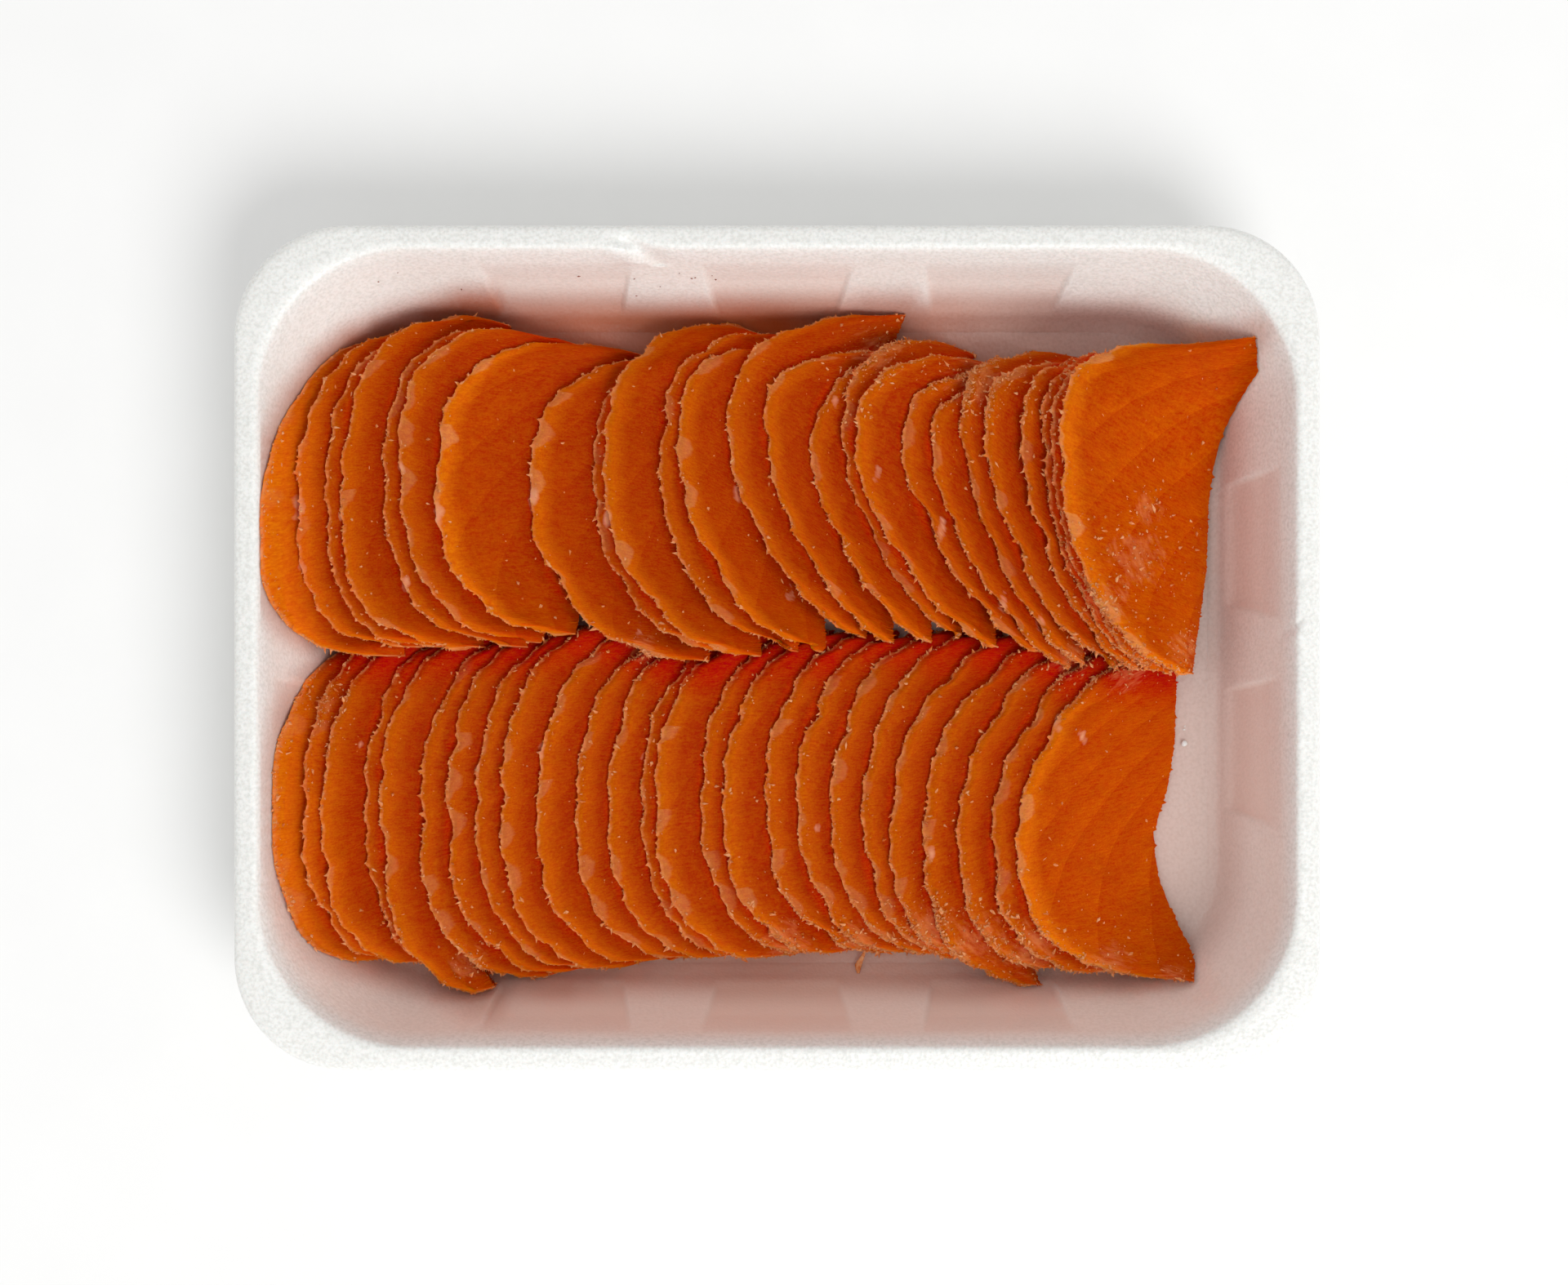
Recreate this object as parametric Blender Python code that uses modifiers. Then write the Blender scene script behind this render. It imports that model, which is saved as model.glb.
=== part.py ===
"""Sliced salmon on its foam tray.

A shallow moulded tray holds two shingled rows of thin half-moon slices. The slices of each row are laid
from left to right, each over its left neighbour, and the upper row overlaps the lower row's ends.
Metres, +Z up, the origin at the middle of the tray's base.
"""
import math

import bmesh
import bpy
import numpy as np

MM = 0.001

# Tray: outer size, wall of foam, and the section from the outer edge inwards.
TRAY_LENGTH = 235 * MM
TRAY_WIDTH = 183 * MM
FOAM_THICKNESS = 3.2 * MM
LIP_HEIGHT = 32.0
# Each ring of the section: inset from the outer edge, height, and how much of the panel recess it takes.
# Millimetres, as are the tray's sizes below.
TRAY_SECTION = (
    (0.0, 25.0, 0), (0.0, 28.2, 0), (0.9, 30.0, 0), (2.6, 30.9, 0), (4.3, LIP_HEIGHT, 0), (5.6, 31.6, 0),
    (6.5, 29.6, 0), (7.4, 27.4, 0), (8.0, 26.0, 1), (15.2, 9.2, 1), (16.4, 6.6, 0), (17.6, 4.6, 0),
    (20.0, 3.2, 0),
)
# The corner's radius at the outer edge, at the lip's crest and on the floor.
CORNER_INSETS = (0.0, 5.6, 20.0)
CORNER_RADII = (24.0, 32.0, 24.0)
CORNER_STEPS = 7
# Recessed panels in the walls: their middles along each side, and half their width at lip and floor.
LONG_SIDE_PANELS = (-48.4, 0.0, 48.4)
SHORT_SIDE_PANELS = (-23.0, 23.0)
PANEL_HALF_TOP = 17.6
PANEL_HALF_FLOOR = 12.8
PANEL_BEVEL = 1.5
PANEL_DEPTH = 1.2
# A finger dent in the back lip.
DENT_AT = (-30.5, 86.0)
DENT_RADIUS = 4.5
DENT_DEPTH = 1.6

# Slices: thickness at the middle and at the rim, and the mesh over a slice.
SLICE_THICKNESS = 2.8 * MM
RIM_THICKNESS = 1.7 * MM
ACROSS = 3
ALONG = 11
END_ANGLE = math.radians(83)
# Each row, left to right: the rounded edge's left-most point (x, y), then for the upper and the lower
# corner how far it lies to the right of that point, and its y. Millimetres.
UPPER_ROW = (
    (-109.8, 25, 27, 71, 27, -2), (-105, 32, 29, 73, 26, 0), (-99, 35, 34, 74, 27, 0),
    (-95.5, 31, 32, 76, 30, 0), (-86.5, 39, 33, 72, 31, 0), (-83, 42, 35, 72, 31, 1),
    (-75, 35, 41, 70, 30, 3), (-55, 34, 38, 66, 40, -3), (-41, 37, 30, 68, 32, -1),
    (-38.5, 38, 33, 74, 35, -2), (-26, 42, 35, 72, 31, -1), (-22, 46, 31, 69, 33, -1),
    (-11, 46, 40, 75, 31, 2), (-3, 48, 32, 67, 29, 1), (7.5, 43, 31, 65, 27, 1),
    (14.5, 45, 27, 70, 27, 2), (17, 44, 34, 66, 32, 0), (27.5, 44, 34, 63, 31, -1),
    (33.5, 45, 35, 60, 32, -5), (40.5, 50, 28, 68, 28, -4), (45.5, 50, 36, 65, 31, -5),
    (53.5, 49, 34, 66, 28, -5), (58, 48, 33, 67, 27, -5), (60, 46, 33, 67, 28, -6),
    (61.5, 44, 42, 68, 32, -6),
)
LOWER_ROW = (
    (-108, -34, 26, 3, 26, -71), (-104, -35, 27, 4, 27, -71), (-100, -39, 29, 4, 29, -72),
    (-91, -35, 28, 4, 30, -75), (-87.5, -35, 30, 4, 24, -78), (-79, -40, 29, 4, 32, -75),
    (-73, -38, 29, 5, 32, -74), (-66.5, -37, 29, 5, 31, -73), (-61, -38, 29, 6, 32, -73),
    (-53, -39, 29, 5, 32, -72), (-44.5, -39, 29, 5, 32, -71), (-37.5, -37, 29, 5, 32, -71),
    (-30, -35, 28, 4, 32, -71), (-27, -35, 29, 4, 33, -71), (-17, -33, 30, 4, 32, -70),
    (-12, -35, 30, 4, 32, -70), (-2.5, -32, 30, 4, 32, -70), (4.5, -32, 31, 4, 32, -70),
    (12, -34, 31, 4, 32, -70), (19, -37, 32, 4, 32, -71), (25, -41, 36, 4, 34, -73),
    (32.5, -41, 36, 3, 27, -76), (40, -43, 36, 2, 33, -74), (47.5, -43, 36, 1, 33, -74),
    (53, -44, 37, 0, 40, -74),
)
# How square a slice's ends are, at shares of the row's length: 2 is an ellipse, more is blunt, and less
# runs out in a slant. The wall end lies by the tray's wall, and the inner end by the other row.
UPPER_WALL_END = ((0.0, 2.2), (0.15, 2.8), (0.9, 2.8), (1.0, 3.4))
UPPER_INNER_END = ((0.0, 3.1), (0.3, 2.1), (0.45, 1.9), (0.5, 1.5), (0.75, 1.4), (1.0, 2.0))
LOWER_WALL_END = ((0.0, 3.0), (0.15, 2.5), (1.0, 2.5))
LOWER_INNER_END = ((0.0, 2.6), (0.75, 2.2), (1.0, 1.9))
# How far the straight edge is hollowed, most near the end by the tray's wall.
UPPER_HOLLOW = 4 * MM
LOWER_HOLLOW = 8 * MM
HOLLOW_SKEW = 1.8

# Laying: the cell of the raster that carries the pile's height, the least triangle that it reads, in
# cells, and how far past a triangle's side a cell still counts as inside, as a share of the triangle.
CELL = 0.5 * MM
LEAST_AREA = 1e-9
SIDE_SLACK = 1e-6
# The gap under a slice, and its stiffness: how often it is smoothed and how far it sags each time, and
# how often the pits between its grid points are filled.
LAYING_GAP = 0.4 * MM
SAG_PER_ROUND = 0.01 * MM
STIFFNESS_ROUNDS = 200
EVENING_ROUNDS = 5


def clear_scene():
    for item in list(bpy.data.objects):
        bpy.data.objects.remove(item, do_unlink=True)


def material(name, colour, roughness):
    made = bpy.data.materials.new(name)
    made.use_nodes = True
    shader = made.node_tree.nodes["Principled BSDF"]
    shader.inputs["Base Color"].default_value = (*colour, 1.0)
    shader.inputs["Roughness"].default_value = roughness
    shader.inputs["Metallic"].default_value = 0.0
    return made


def collection(name):
    made = bpy.data.collections.new(name)
    bpy.context.scene.collection.children.link(made)
    return made


def mesh_object(name, points, faces, finish, holder):
    mesh = bpy.data.meshes.new(name)
    mesh.from_pydata([tuple(map(float, point)) for point in points], [], faces)
    mesh.materials.append(finish)
    made = bpy.data.objects.new(name, mesh)
    holder.objects.link(made)
    return made


# Tray


def panel_stations(centres, half_width):
    """Places along a side: each panel's outer and inner edges, with how much of the recess each takes."""
    stations = []
    for centre in centres:
        stations += [
            (centre - half_width - PANEL_BEVEL, 0), (centre - half_width, 1),
            (centre + half_width, 1), (centre + half_width + PANEL_BEVEL, 0),
        ]
    return stations


def tray_ring(inset, level, recess):
    """One ring of the tray, counter-clockwise from the right side, as millimetre points."""
    half_x = TRAY_LENGTH / MM / 2 - inset
    half_y = TRAY_WIDTH / MM / 2 - inset
    radius = np.interp(inset, CORNER_INSETS, CORNER_RADII)
    half_panel = np.interp(level, (FOAM_THICKNESS / MM, LIP_HEIGHT), (PANEL_HALF_FLOOR, PANEL_HALF_TOP))
    points = []
    for side in range(4):
        across, along = (half_x, half_y) if side % 2 == 0 else (half_y, half_x)
        centres = SHORT_SIDE_PANELS if side % 2 == 0 else LONG_SIDE_PANELS
        local = [
            (across + PANEL_DEPTH * recess * share, place)
            for place, share in panel_stations(centres, half_panel)
        ]
        for step in range(CORNER_STEPS + 1):
            angle = math.pi / 2 * step / CORNER_STEPS
            local.append((
                across - radius + radius * math.cos(angle),
                along - radius + radius * math.sin(angle),
            ))
        turn = math.pi / 2 * side
        points += [
            (x * math.cos(turn) - y * math.sin(turn), x * math.sin(turn) + y * math.cos(turn), level)
            for x, y in local
        ]
    return points


def dented(point):
    """A point of the tray, pressed down where a finger dented the lip."""
    x, y, z = point
    away = math.hypot(x - DENT_AT[0], y - DENT_AT[1]) / DENT_RADIUS
    return x, y, z - DENT_DEPTH * math.exp(-away * away)


def build_tray(holder):
    """The tray's inner and upper skin as a loft of rings, given its wall of foam by Solidify."""
    points = []
    faces = []
    for inset, level, recess in TRAY_SECTION:
        points += [dented(point) for point in tray_ring(inset, level, recess)]
    count = len(points) // len(TRAY_SECTION)
    for ring in range(len(TRAY_SECTION) - 1):
        for i in range(count):
            j = (i + 1) % count
            faces.append((
                ring * count + i, ring * count + j, (ring + 1) * count + j, (ring + 1) * count + i,
            ))
    faces.append(tuple(len(points) - count + i for i in range(count)))
    finish = material("expanded_polystyrene", (0.86, 0.86, 0.84), 0.55)
    tray = mesh_object("tray", np.array(points) * MM, faces, finish, holder)
    flatten = bmesh.new()
    flatten.from_mesh(tray.data)
    bmesh.ops.triangulate(flatten, faces=flatten.faces)
    flatten.to_mesh(tray.data)
    flatten.free()
    wall = tray.modifiers.new("Foam wall", "SOLIDIFY")
    wall.thickness = FOAM_THICKNESS
    wall.offset = -1
    wall.use_even_offset = True
    return tray


# The pile's height, on a raster over the tray


class Pile:
    """The height of everything laid so far, one number for each cell of the tray's plan."""

    def __init__(self):
        self.low = np.array((-TRAY_LENGTH / 2, -TRAY_WIDTH / 2))
        self.shape = (math.ceil(TRAY_LENGTH / CELL), math.ceil(TRAY_WIDTH / CELL))
        self.height = np.zeros(self.shape)

    def cells(self, corners):
        """The cells under one triangle: their indices, and each one's share of the three corners, if any."""
        plan = (corners[:, :2] - self.low) / CELL - 0.5
        low = np.maximum(np.floor(plan.min(axis=0)).astype(int), 0)
        high = np.minimum(np.ceil(plan.max(axis=0)).astype(int) + 1, self.shape)
        i, j = np.mgrid[low[0]:high[0], low[1]:high[1]]
        (ax, ay), (bx, by), (cx, cy) = plan
        area = (bx - ax) * (cy - ay) - (cx - ax) * (by - ay)
        if abs(area) < LEAST_AREA:
            return None
        b = ((i - ax) * (cy - ay) - (cx - ax) * (j - ay)) / area
        c = ((bx - ax) * (j - ay) - (i - ax) * (by - ay)) / area
        inside = (b >= -SIDE_SLACK) & (c >= -SIDE_SLACK) & (b + c <= 1 + SIDE_SLACK)
        if not inside.any():
            return None
        return i[inside], j[inside], np.stack((1 - b - c, b, c), axis=-1)[inside]

    def add(self, points, triangles):
        for triangle in triangles:
            corners = points[list(triangle)]
            found = self.cells(corners)
            if found:
                i, j, shares = found
                self.height[i, j] = np.maximum(self.height[i, j], shares @ corners[:, 2])

    def bearing(self):
        """The lowest a sheet can lie over each cell: the highest of the cells around it, and the gap."""
        padded = np.pad(self.height, 1, mode="edge")
        around = [
            padded[i:i + self.shape[0], j:j + self.shape[1]] for i in range(3) for j in range(3)
        ]
        return np.max(around, axis=0) + LAYING_GAP


# Slices


def quarter(edge, corner, fullness, angle):
    """A point of the rounded edge, from its left-most point (angle 0) round to a corner (90 degrees)."""
    power = 2 / fullness
    return np.array((
        edge[0] + (corner[0] - edge[0]) * (1 - math.cos(angle) ** power),
        edge[1] + (corner[1] - edge[1]) * math.sin(angle) ** power,
    ))


def slice_plan(place, upper_fullness, lower_fullness, wall_end_is_upper, hollow):
    """The slice seen from above: a grid of points from its rounded edge to its straight edge."""
    edge_x, edge_y, upper_reach, upper_y, lower_reach, lower_y = (value * MM for value in place)
    edge = (edge_x, edge_y)
    upper = np.array((edge_x + upper_reach, upper_y))
    lower = np.array((edge_x + lower_reach, lower_y))
    rows = []
    for step in range(ALONG + 1):
        angle = END_ANGLE * (2 * step / ALONG - 1)
        if angle < 0:
            rounded = quarter(edge, lower, lower_fullness, -angle)
        else:
            rounded = quarter(edge, upper, upper_fullness, angle)
        share = (1 + math.sin(angle) / math.sin(END_ANGLE)) / 2
        straight = lower + (upper - lower) * share
        from_inner = share if wall_end_is_upper else 1 - share
        straight[0] -= hollow * math.sin(math.pi * from_inner ** HOLLOW_SKEW)
        rows.append([rounded + (straight - rounded) * step_in / ACROSS for step_in in range(ACROSS + 1)])
    return np.array(rows)


def slice_triangles():
    """The two triangles of each grid cell, as point numbers along and across the slice."""
    wide = ACROSS + 1
    triangles = []
    for along in range(ALONG):
        for across in range(ACROSS):
            a = along * wide + across
            triangles += [(a, a + 1, a + wide + 1), (a, a + wide + 1, a + wide)]
    return triangles


def rim_loop():
    """The grid's border point numbers, counter-clockwise as the grid's own faces turn."""
    wide = ACROSS + 1
    loop = list(range(ACROSS))
    loop += [along * wide + ACROSS for along in range(ALONG)]
    loop += [ALONG * wide + across for across in range(ACROSS, 0, -1)]
    loop += [along * wide for along in range(ALONG, 0, -1)]
    return loop


def settled(bearing, covered):
    """A limp sheet lowered on to its bearing: smoothed and let down again and again, never through it."""
    floor = np.where(covered, bearing, 0.0)
    sheet = floor.copy()
    weight = np.pad(covered.astype(float), 1)
    for _ in range(STIFFNESS_ROUNDS):
        padded = np.pad(np.where(covered, sheet, 0.0), 1)
        total = np.zeros_like(sheet)
        share = np.zeros_like(sheet)
        for i, j in ((0, 1), (2, 1), (1, 0), (1, 2), (1, 1)):
            total += padded[i:i + sheet.shape[0], j:j + sheet.shape[1]]
            share += weight[i:i + sheet.shape[0], j:j + sheet.shape[1]]
        sheet = np.maximum(floor, total / np.maximum(share, 1) - SAG_PER_ROUND)
    return sheet


def evened(heights):
    """The grid's heights with their pits filled, so that the slice bends evenly. Nothing is lowered."""
    for _ in range(EVENING_ROUNDS):
        along = heights.copy()
        along[1:-1] = (heights[:-2] + heights[2:]) / 2
        across = heights.copy()
        across[:, 1:-1] = (heights[:, :-2] + heights[:, 2:]) / 2
        heights = np.maximum(heights, (along + across) / 2)
    return heights


def lay_slice(pile, plan, triangles):
    """The heights of the grid's points for a slice laid on the pile, touching it nowhere."""
    flat = plan.reshape(-1, 2)
    low = np.maximum(((flat.min(axis=0) - pile.low) / CELL).astype(int) - 2, 0)
    high = np.minimum(((flat.max(axis=0) - pile.low) / CELL).astype(int) + 3, pile.shape)
    window = tuple(slice(a, b) for a, b in zip(low, high))
    bearing = pile.bearing()
    points = np.column_stack((flat, np.zeros(len(flat))))
    under = [pile.cells(points[list(triangle)]) for triangle in triangles]
    covered = np.zeros(pile.shape, bool)
    for found in under:
        if found:
            covered[found[0], found[1]] = True
    sheet = settled(bearing[window], covered[window])
    places = np.argwhere(covered[window])
    for n, point in enumerate(flat):
        at = (point - pile.low) / CELL - 0.5 - low
        nearest = places[np.argmin(((places - at) ** 2).sum(axis=1))]
        points[n, 2] = sheet[tuple(nearest)]
    lift = np.zeros(len(flat))
    for triangle, found in zip(triangles, under):
        if found:
            corners = list(triangle)
            short = (bearing[found[0], found[1]] - found[2] @ points[corners, 2]).max()
            lift[corners] = np.maximum(lift[corners], short)
    points[:, 2] = evened((points[:, 2] + lift).reshape(ALONG + 1, ACROSS + 1)).reshape(-1)
    return points


def build_slice(name, pile, plan, finish, holder):
    """One closed slice: its underside laid on the pile, its upper side its thickness above."""
    triangles = slice_triangles()
    under = lay_slice(pile, plan, triangles)
    thickness = np.full((ALONG + 1, ACROSS + 1), RIM_THICKNESS)
    thickness[1:-1, 1:-1] = SLICE_THICKNESS
    upper = under.copy()
    upper[:, 2] += thickness.reshape(-1)
    pile.add(upper, triangles)
    count = len(under)
    faces = [(c, b, a) for a, b, c in triangles]
    faces += [tuple(corner + count for corner in triangle) for triangle in triangles]
    loop = rim_loop()
    for a, b in zip(loop, loop[1:] + loop[:1]):
        faces += [(a, b, b + count), (a, b + count, a + count)]
    return mesh_object(name, np.vstack((under, upper)), faces, finish, holder)


def build_row(name, row, wall_end, inner_end, hollow, wall_end_is_upper, pile, finish, holder):
    for number, place in enumerate(row):
        progress = number / (len(row) - 1)
        ends = [np.interp(progress, *zip(*end)) for end in (wall_end, inner_end)]
        if not wall_end_is_upper:
            ends.reverse()
        plan = slice_plan(place, *ends, wall_end_is_upper, hollow)
        build_slice(f"{name}_{number + 1:02d}", pile, plan, finish, holder)


def main():
    clear_scene()
    holder = collection("sliced_salmon")
    tray = build_tray(holder)
    pile = Pile()
    points = np.array([vertex.co for vertex in tray.data.vertices])
    pile.add(points, [tuple(polygon.vertices) for polygon in tray.data.polygons])
    finish = material("salmon_flesh", (0.62, 0.13, 0.01), 0.45)
    laid = (pile, finish, holder)
    build_row("lower_slice", LOWER_ROW, LOWER_WALL_END, LOWER_INNER_END, LOWER_HOLLOW, False, *laid)
    build_row("upper_slice", UPPER_ROW, UPPER_WALL_END, UPPER_INNER_END, UPPER_HOLLOW, True, *laid)


main()
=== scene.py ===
import math

import bmesh
import bpy
import numpy as np
from mathutils.bvhtree import BVHTree
from mathutils.kdtree import KDTree
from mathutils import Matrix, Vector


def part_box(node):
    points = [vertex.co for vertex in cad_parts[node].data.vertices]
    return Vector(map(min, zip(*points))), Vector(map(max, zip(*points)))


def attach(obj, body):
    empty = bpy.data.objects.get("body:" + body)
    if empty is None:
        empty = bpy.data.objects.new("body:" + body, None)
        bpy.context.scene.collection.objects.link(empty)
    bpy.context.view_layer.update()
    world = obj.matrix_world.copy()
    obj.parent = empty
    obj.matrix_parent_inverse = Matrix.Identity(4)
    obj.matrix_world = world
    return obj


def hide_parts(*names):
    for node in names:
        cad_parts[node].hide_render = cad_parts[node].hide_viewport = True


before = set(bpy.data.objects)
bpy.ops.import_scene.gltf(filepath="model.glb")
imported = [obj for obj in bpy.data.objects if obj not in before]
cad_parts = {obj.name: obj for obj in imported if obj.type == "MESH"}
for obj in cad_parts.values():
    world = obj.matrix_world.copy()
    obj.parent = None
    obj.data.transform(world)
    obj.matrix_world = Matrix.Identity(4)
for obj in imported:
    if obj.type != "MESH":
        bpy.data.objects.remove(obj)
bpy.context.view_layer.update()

MM = 0.001


# The table: a plain pale top, larger than the picture, that the tray stands on. It takes the tray's soft
# shadow and is no part of the tray.


def linear(code):
    """A colour written as sRGB hex, as the linear values that a shader takes."""
    shares = [int(code[i:i + 2], 16) / 255 for i in (1, 3, 5)]
    return tuple(s / 12.92 if s <= 0.04045 else ((s + 0.055) / 1.055) ** 2.4 for s in shares) + (1.0,)


def add(tree, kind, inputs=None, **settings):
    """Adds one node to a tree: its settings, then its inputs. An input is a value, another node's output, or
    a node, which stands for the first of its outputs in use."""
    node = tree.nodes.new(kind)
    for name, value in settings.items():
        setattr(node, name, value)
    for key, value in (inputs or {}).items():
        if isinstance(value, bpy.types.Node):
            value = next(output for output in value.outputs if output.enabled)
        if isinstance(value, bpy.types.NodeSocket):
            tree.links.new(value, node.inputs[key])
        else:
            node.inputs[key].default_value = value
    return node


def new_material(name, **uniform):
    """A material with one shader, whose even values are set straight on its sockets."""
    made = bpy.data.materials.new(name)
    made.use_nodes = True
    made.node_tree.nodes.clear()
    shader = add(made.node_tree, "ShaderNodeBsdfPrincipled", {
        key.replace("_", " "): value for key, value in uniform.items()
    })
    add(made.node_tree, "ShaderNodeOutputMaterial", {"Surface": shader})
    return made, made.node_tree, shader


def mesh_piece(name, points, faces, material):
    """A smooth mesh object at the origin, its place in its points, in metres."""
    mesh = bpy.data.meshes.new(name)
    mesh.from_pydata(np.asarray(points, float).tolist(), [], faces)
    mesh.materials.append(material)
    mesh.polygons.foreach_set("use_smooth", [True] * len(mesh.polygons))
    piece = bpy.data.objects.new(name, mesh)
    bpy.context.scene.collection.objects.link(piece)
    return piece


TABLE_HALF = 1.5
TABLE_DROP = 0.1 * MM
TABLE_MOTTLE = 25 * MM

# Matt white laminate: even, with the faintest mottle, so that it stays out of the way.
laminate, tree, shader = new_material("white_laminate", Roughness=0.7)
mottle = add(tree, "ShaderNodeTexNoise", {
    "Vector": add(tree, "ShaderNodeTexCoord").outputs["Object"], "Scale": 1 / TABLE_MOTTLE, "Detail": 2.0,
})
tint = add(tree, "ShaderNodeMix", {
    0: mottle, 6: linear("#F9F9F8"), 7: linear("#FDFDFC"),
}, data_type="RGBA")
tree.links.new(tint.outputs[2], shader.inputs["Base Color"])
table = mesh_piece(
    "table",
    [(x * TABLE_HALF, y * TABLE_HALF, -TABLE_DROP) for x, y in ((-1, -1), (1, -1), (1, 1), (-1, 1))],
    [(0, 1, 2, 3)], laminate,
)


# The light: one large round lamp behind a diffuser, far off over the right front corner, and an even white
# room that fills in the shade.

# Where the lamp stands and how wide it is, in metres, and the brightness of both.
LAMP_AT = (1.20, -1.80, 2.30)
LAMP_SIZE = 1.8
LAMP_WATTS = 50.0
ROOM_LEVEL = 0.69

lamp_data = bpy.data.lights.new("soft_lamp", "AREA")
lamp_data.shape = "DISK"
lamp_data.size = LAMP_SIZE
lamp_data.energy = LAMP_WATTS
lamp = bpy.data.objects.new("soft_lamp", lamp_data)
lamp.location = LAMP_AT
lamp.rotation_euler = (
    math.atan2(math.hypot(LAMP_AT[0], LAMP_AT[1]), LAMP_AT[2]), 0, math.atan2(LAMP_AT[0], -LAMP_AT[1]),
)
bpy.context.scene.collection.objects.link(lamp)
room = bpy.data.worlds.new("room")
room.use_nodes = True
room.node_tree.nodes["Background"].inputs["Color"].default_value = (1, 1, 1, 1)
room.node_tree.nodes["Background"].inputs["Strength"].default_value = ROOM_LEVEL
bpy.context.scene.world = room
bpy.context.scene.view_settings.view_transform = "Standard"


# The camera: straight above the tray, a little over half a metre up, as the photograph was taken. It looks
# down, so that the tray's long side runs across the picture.

# Its place in metres, and its lens and the width of its sensor in millimetres.
CAMERA_AT = (1.5 * MM, 1.15 * MM, 0.557)
LENS = 56.0
SENSOR = 36.0

camera_data = bpy.data.cameras.new("camera")
camera_data.lens = LENS
camera_data.sensor_width = SENSOR
camera = bpy.data.objects.new("camera", camera_data)
camera.location = CAMERA_AT
bpy.context.scene.collection.objects.link(camera)
bpy.context.scene.camera = camera


# The tray: one sheet of expanded polystyrene foam, pressed while warm into a shallow dish with a turned-down
# lip. Panels are pressed outwards in its four walls to stiffen it, and a nail has gouged the back lip.

# All of the tray's sizes are in millimetres.
tray_low, tray_high = (np.array(corner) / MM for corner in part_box("tray"))
TRAY_HALF = (tray_high - tray_low)[:2] / 2
LIP_HEIGHT = tray_high[2]
FLOOR_HEIGHT = 3.2
# The inner skin from the hem inwards: inset from the outer edge, height, and share of the panels' depth.
INNER_SKIN = (
    (0.0, 25.0, 0), (0.0, 29.0, 0), (0.5, 30.8, 0), (1.5, 31.5, 0), (3.4, LIP_HEIGHT - 0.2, 0),
    (4.5, LIP_HEIGHT, 0), (5.5, 31.6, 0), (6.5, 29.6, 0), (7.4, 27.4, 0), (8.0, 26.0, 0), (9.8, 21.8, 0.5),
    (11.6, 17.6, 1), (15.2, 9.2, 1), (16.4, 6.6, 0), (17.6, 4.6, 0), (20.0, FLOOR_HEIGHT, 0),
)
# The outer skin, from the base outwards and up under the lip to the hem.
OUTER_SKIN = (
    (20.0, 0.0, 0), (16.4, 0.6, 0), (14.2, 3.0, 0), (12.2, 7.4, 1), (8.6, 15.8, 1), (4.9, 24.2, 1),
    (4.0, 25.0, 0), (1.2, 24.9, 0), (0.0, 25.0, 0),
)
# The corners' radii at three insets, and the points round each.
CORNER_INSETS = (0.0, 5.6, 20.0)
CORNER_RADII = (24.0, 32.0, 24.0)
CORNER_STEPS = 22
# The panels' middles along each side, half their width at the lip and at the floor, and the points across a
# panel, across a rib between two of them, and down a panel's bevelled edge.
LONG_PANELS = (-48.4, 0.0, 48.4)
SHORT_PANELS = (-23.0, 23.0)
PANEL_HALF_TOP = 17.6
PANEL_HALF_FLOOR = 12.8
PANEL_BEVEL = 1.5
PANEL_DEPTH = 1.2
PANEL_STEPS = 16
RIB_STEPS = 12
BEVEL_STEPS = 6
# The largest step between two rings round the tray.
RING_STEP = 0.8
# The gouge and two creases in the lip: their two ends, their width, the height of the ridge that was pushed
# up and the depth of the groove, which runs a few widths beside it. Both end where the lip does.
GOUGES = (
    ((-36.0, 85.6), (-25.0, 80.8), 1.4, 1.3, 2.0), ((110.0, 0.6), (115.2, 5.8), 0.8, 0.2, 0.5),
    ((110.0, -21.6), (113.8, -16.2), 0.8, 0.2, 0.5),
)
GROOVE_AWAY = 2.2
LIP_BEGINS = 26.0
# The juice's stain with painted shade, which stands for the shadow that the slices cast beside them and the
# shade low in the dish: how far it reaches over the foam beside the slices, and how strong it is there and
# all over the floor, in eight directions from the right, by the back, the left and the front. The floor's
# painted shade and stain end between two heights, and nothing is stained or shaded further out than the dish.
SHADE_AND_STAIN_REACH = (0.5, 6.5)
SHADE_AND_STAIN_SHARES = (0.2, 0.5, 0.8, 0.9, 0.6, 0.4, 0.5, 0.1)
FLOOR_SHADE_AND_STAIN_SHARES = (0.26, 0.45, 1.0, 0.8, 0.3, 0.3, 0.45, 0.3)
FLOOR_ENDS = (4.0, 18.0)
DISH_INSET = 6.0
# How near the fish the foam lets light through, which softens the shade there.
GLOW_REACH = (2.0, 7.0)
# The painted blush of the light off the fish, which also paints shade on the walls turned from the lamp:
# its strength in the same directions, how much stronger this painted shade is in the panels, and the heights
# between which it ends under the lip.
BLUSH_SHARES = (0.4, 0.0, 0.25, 0.1, 0.3, 0.5, 0.8, 0.5)
PANEL_BLUSH = 0.3
BLUSH_FADES = (25.0, 30.5)


def smooth(value, low, high):
    """0 below the low value, 1 above the high one, and an even curve between."""
    share = np.clip((value - low) / (high - low), 0, 1)
    return share * share * (3 - 2 * share)


def rotated(x, y, angle):
    """x and y turned by an angle, counter-clockwise seen from above."""
    return x * math.cos(angle) - y * math.sin(angle), x * math.sin(angle) + y * math.cos(angle)


def run_along(points):
    """How far along a line of points each of them lies."""
    return np.concatenate(([0], np.cumsum(np.linalg.norm(np.diff(points, axis=0), axis=1))))


def rounded_off(points, rounds):
    """A line of points with its corners cut again and again, its ends kept."""
    points = np.array(points, float)
    for _ in range(rounds):
        start, end = points[:-1], points[1:]
        cut = np.empty((2 * len(start), points.shape[1]))
        cut[0::2] = start * 0.75 + end * 0.25
        cut[1::2] = start * 0.25 + end * 0.75
        points = np.vstack((points[:1], cut, points[-1:]))
    return points


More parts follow.
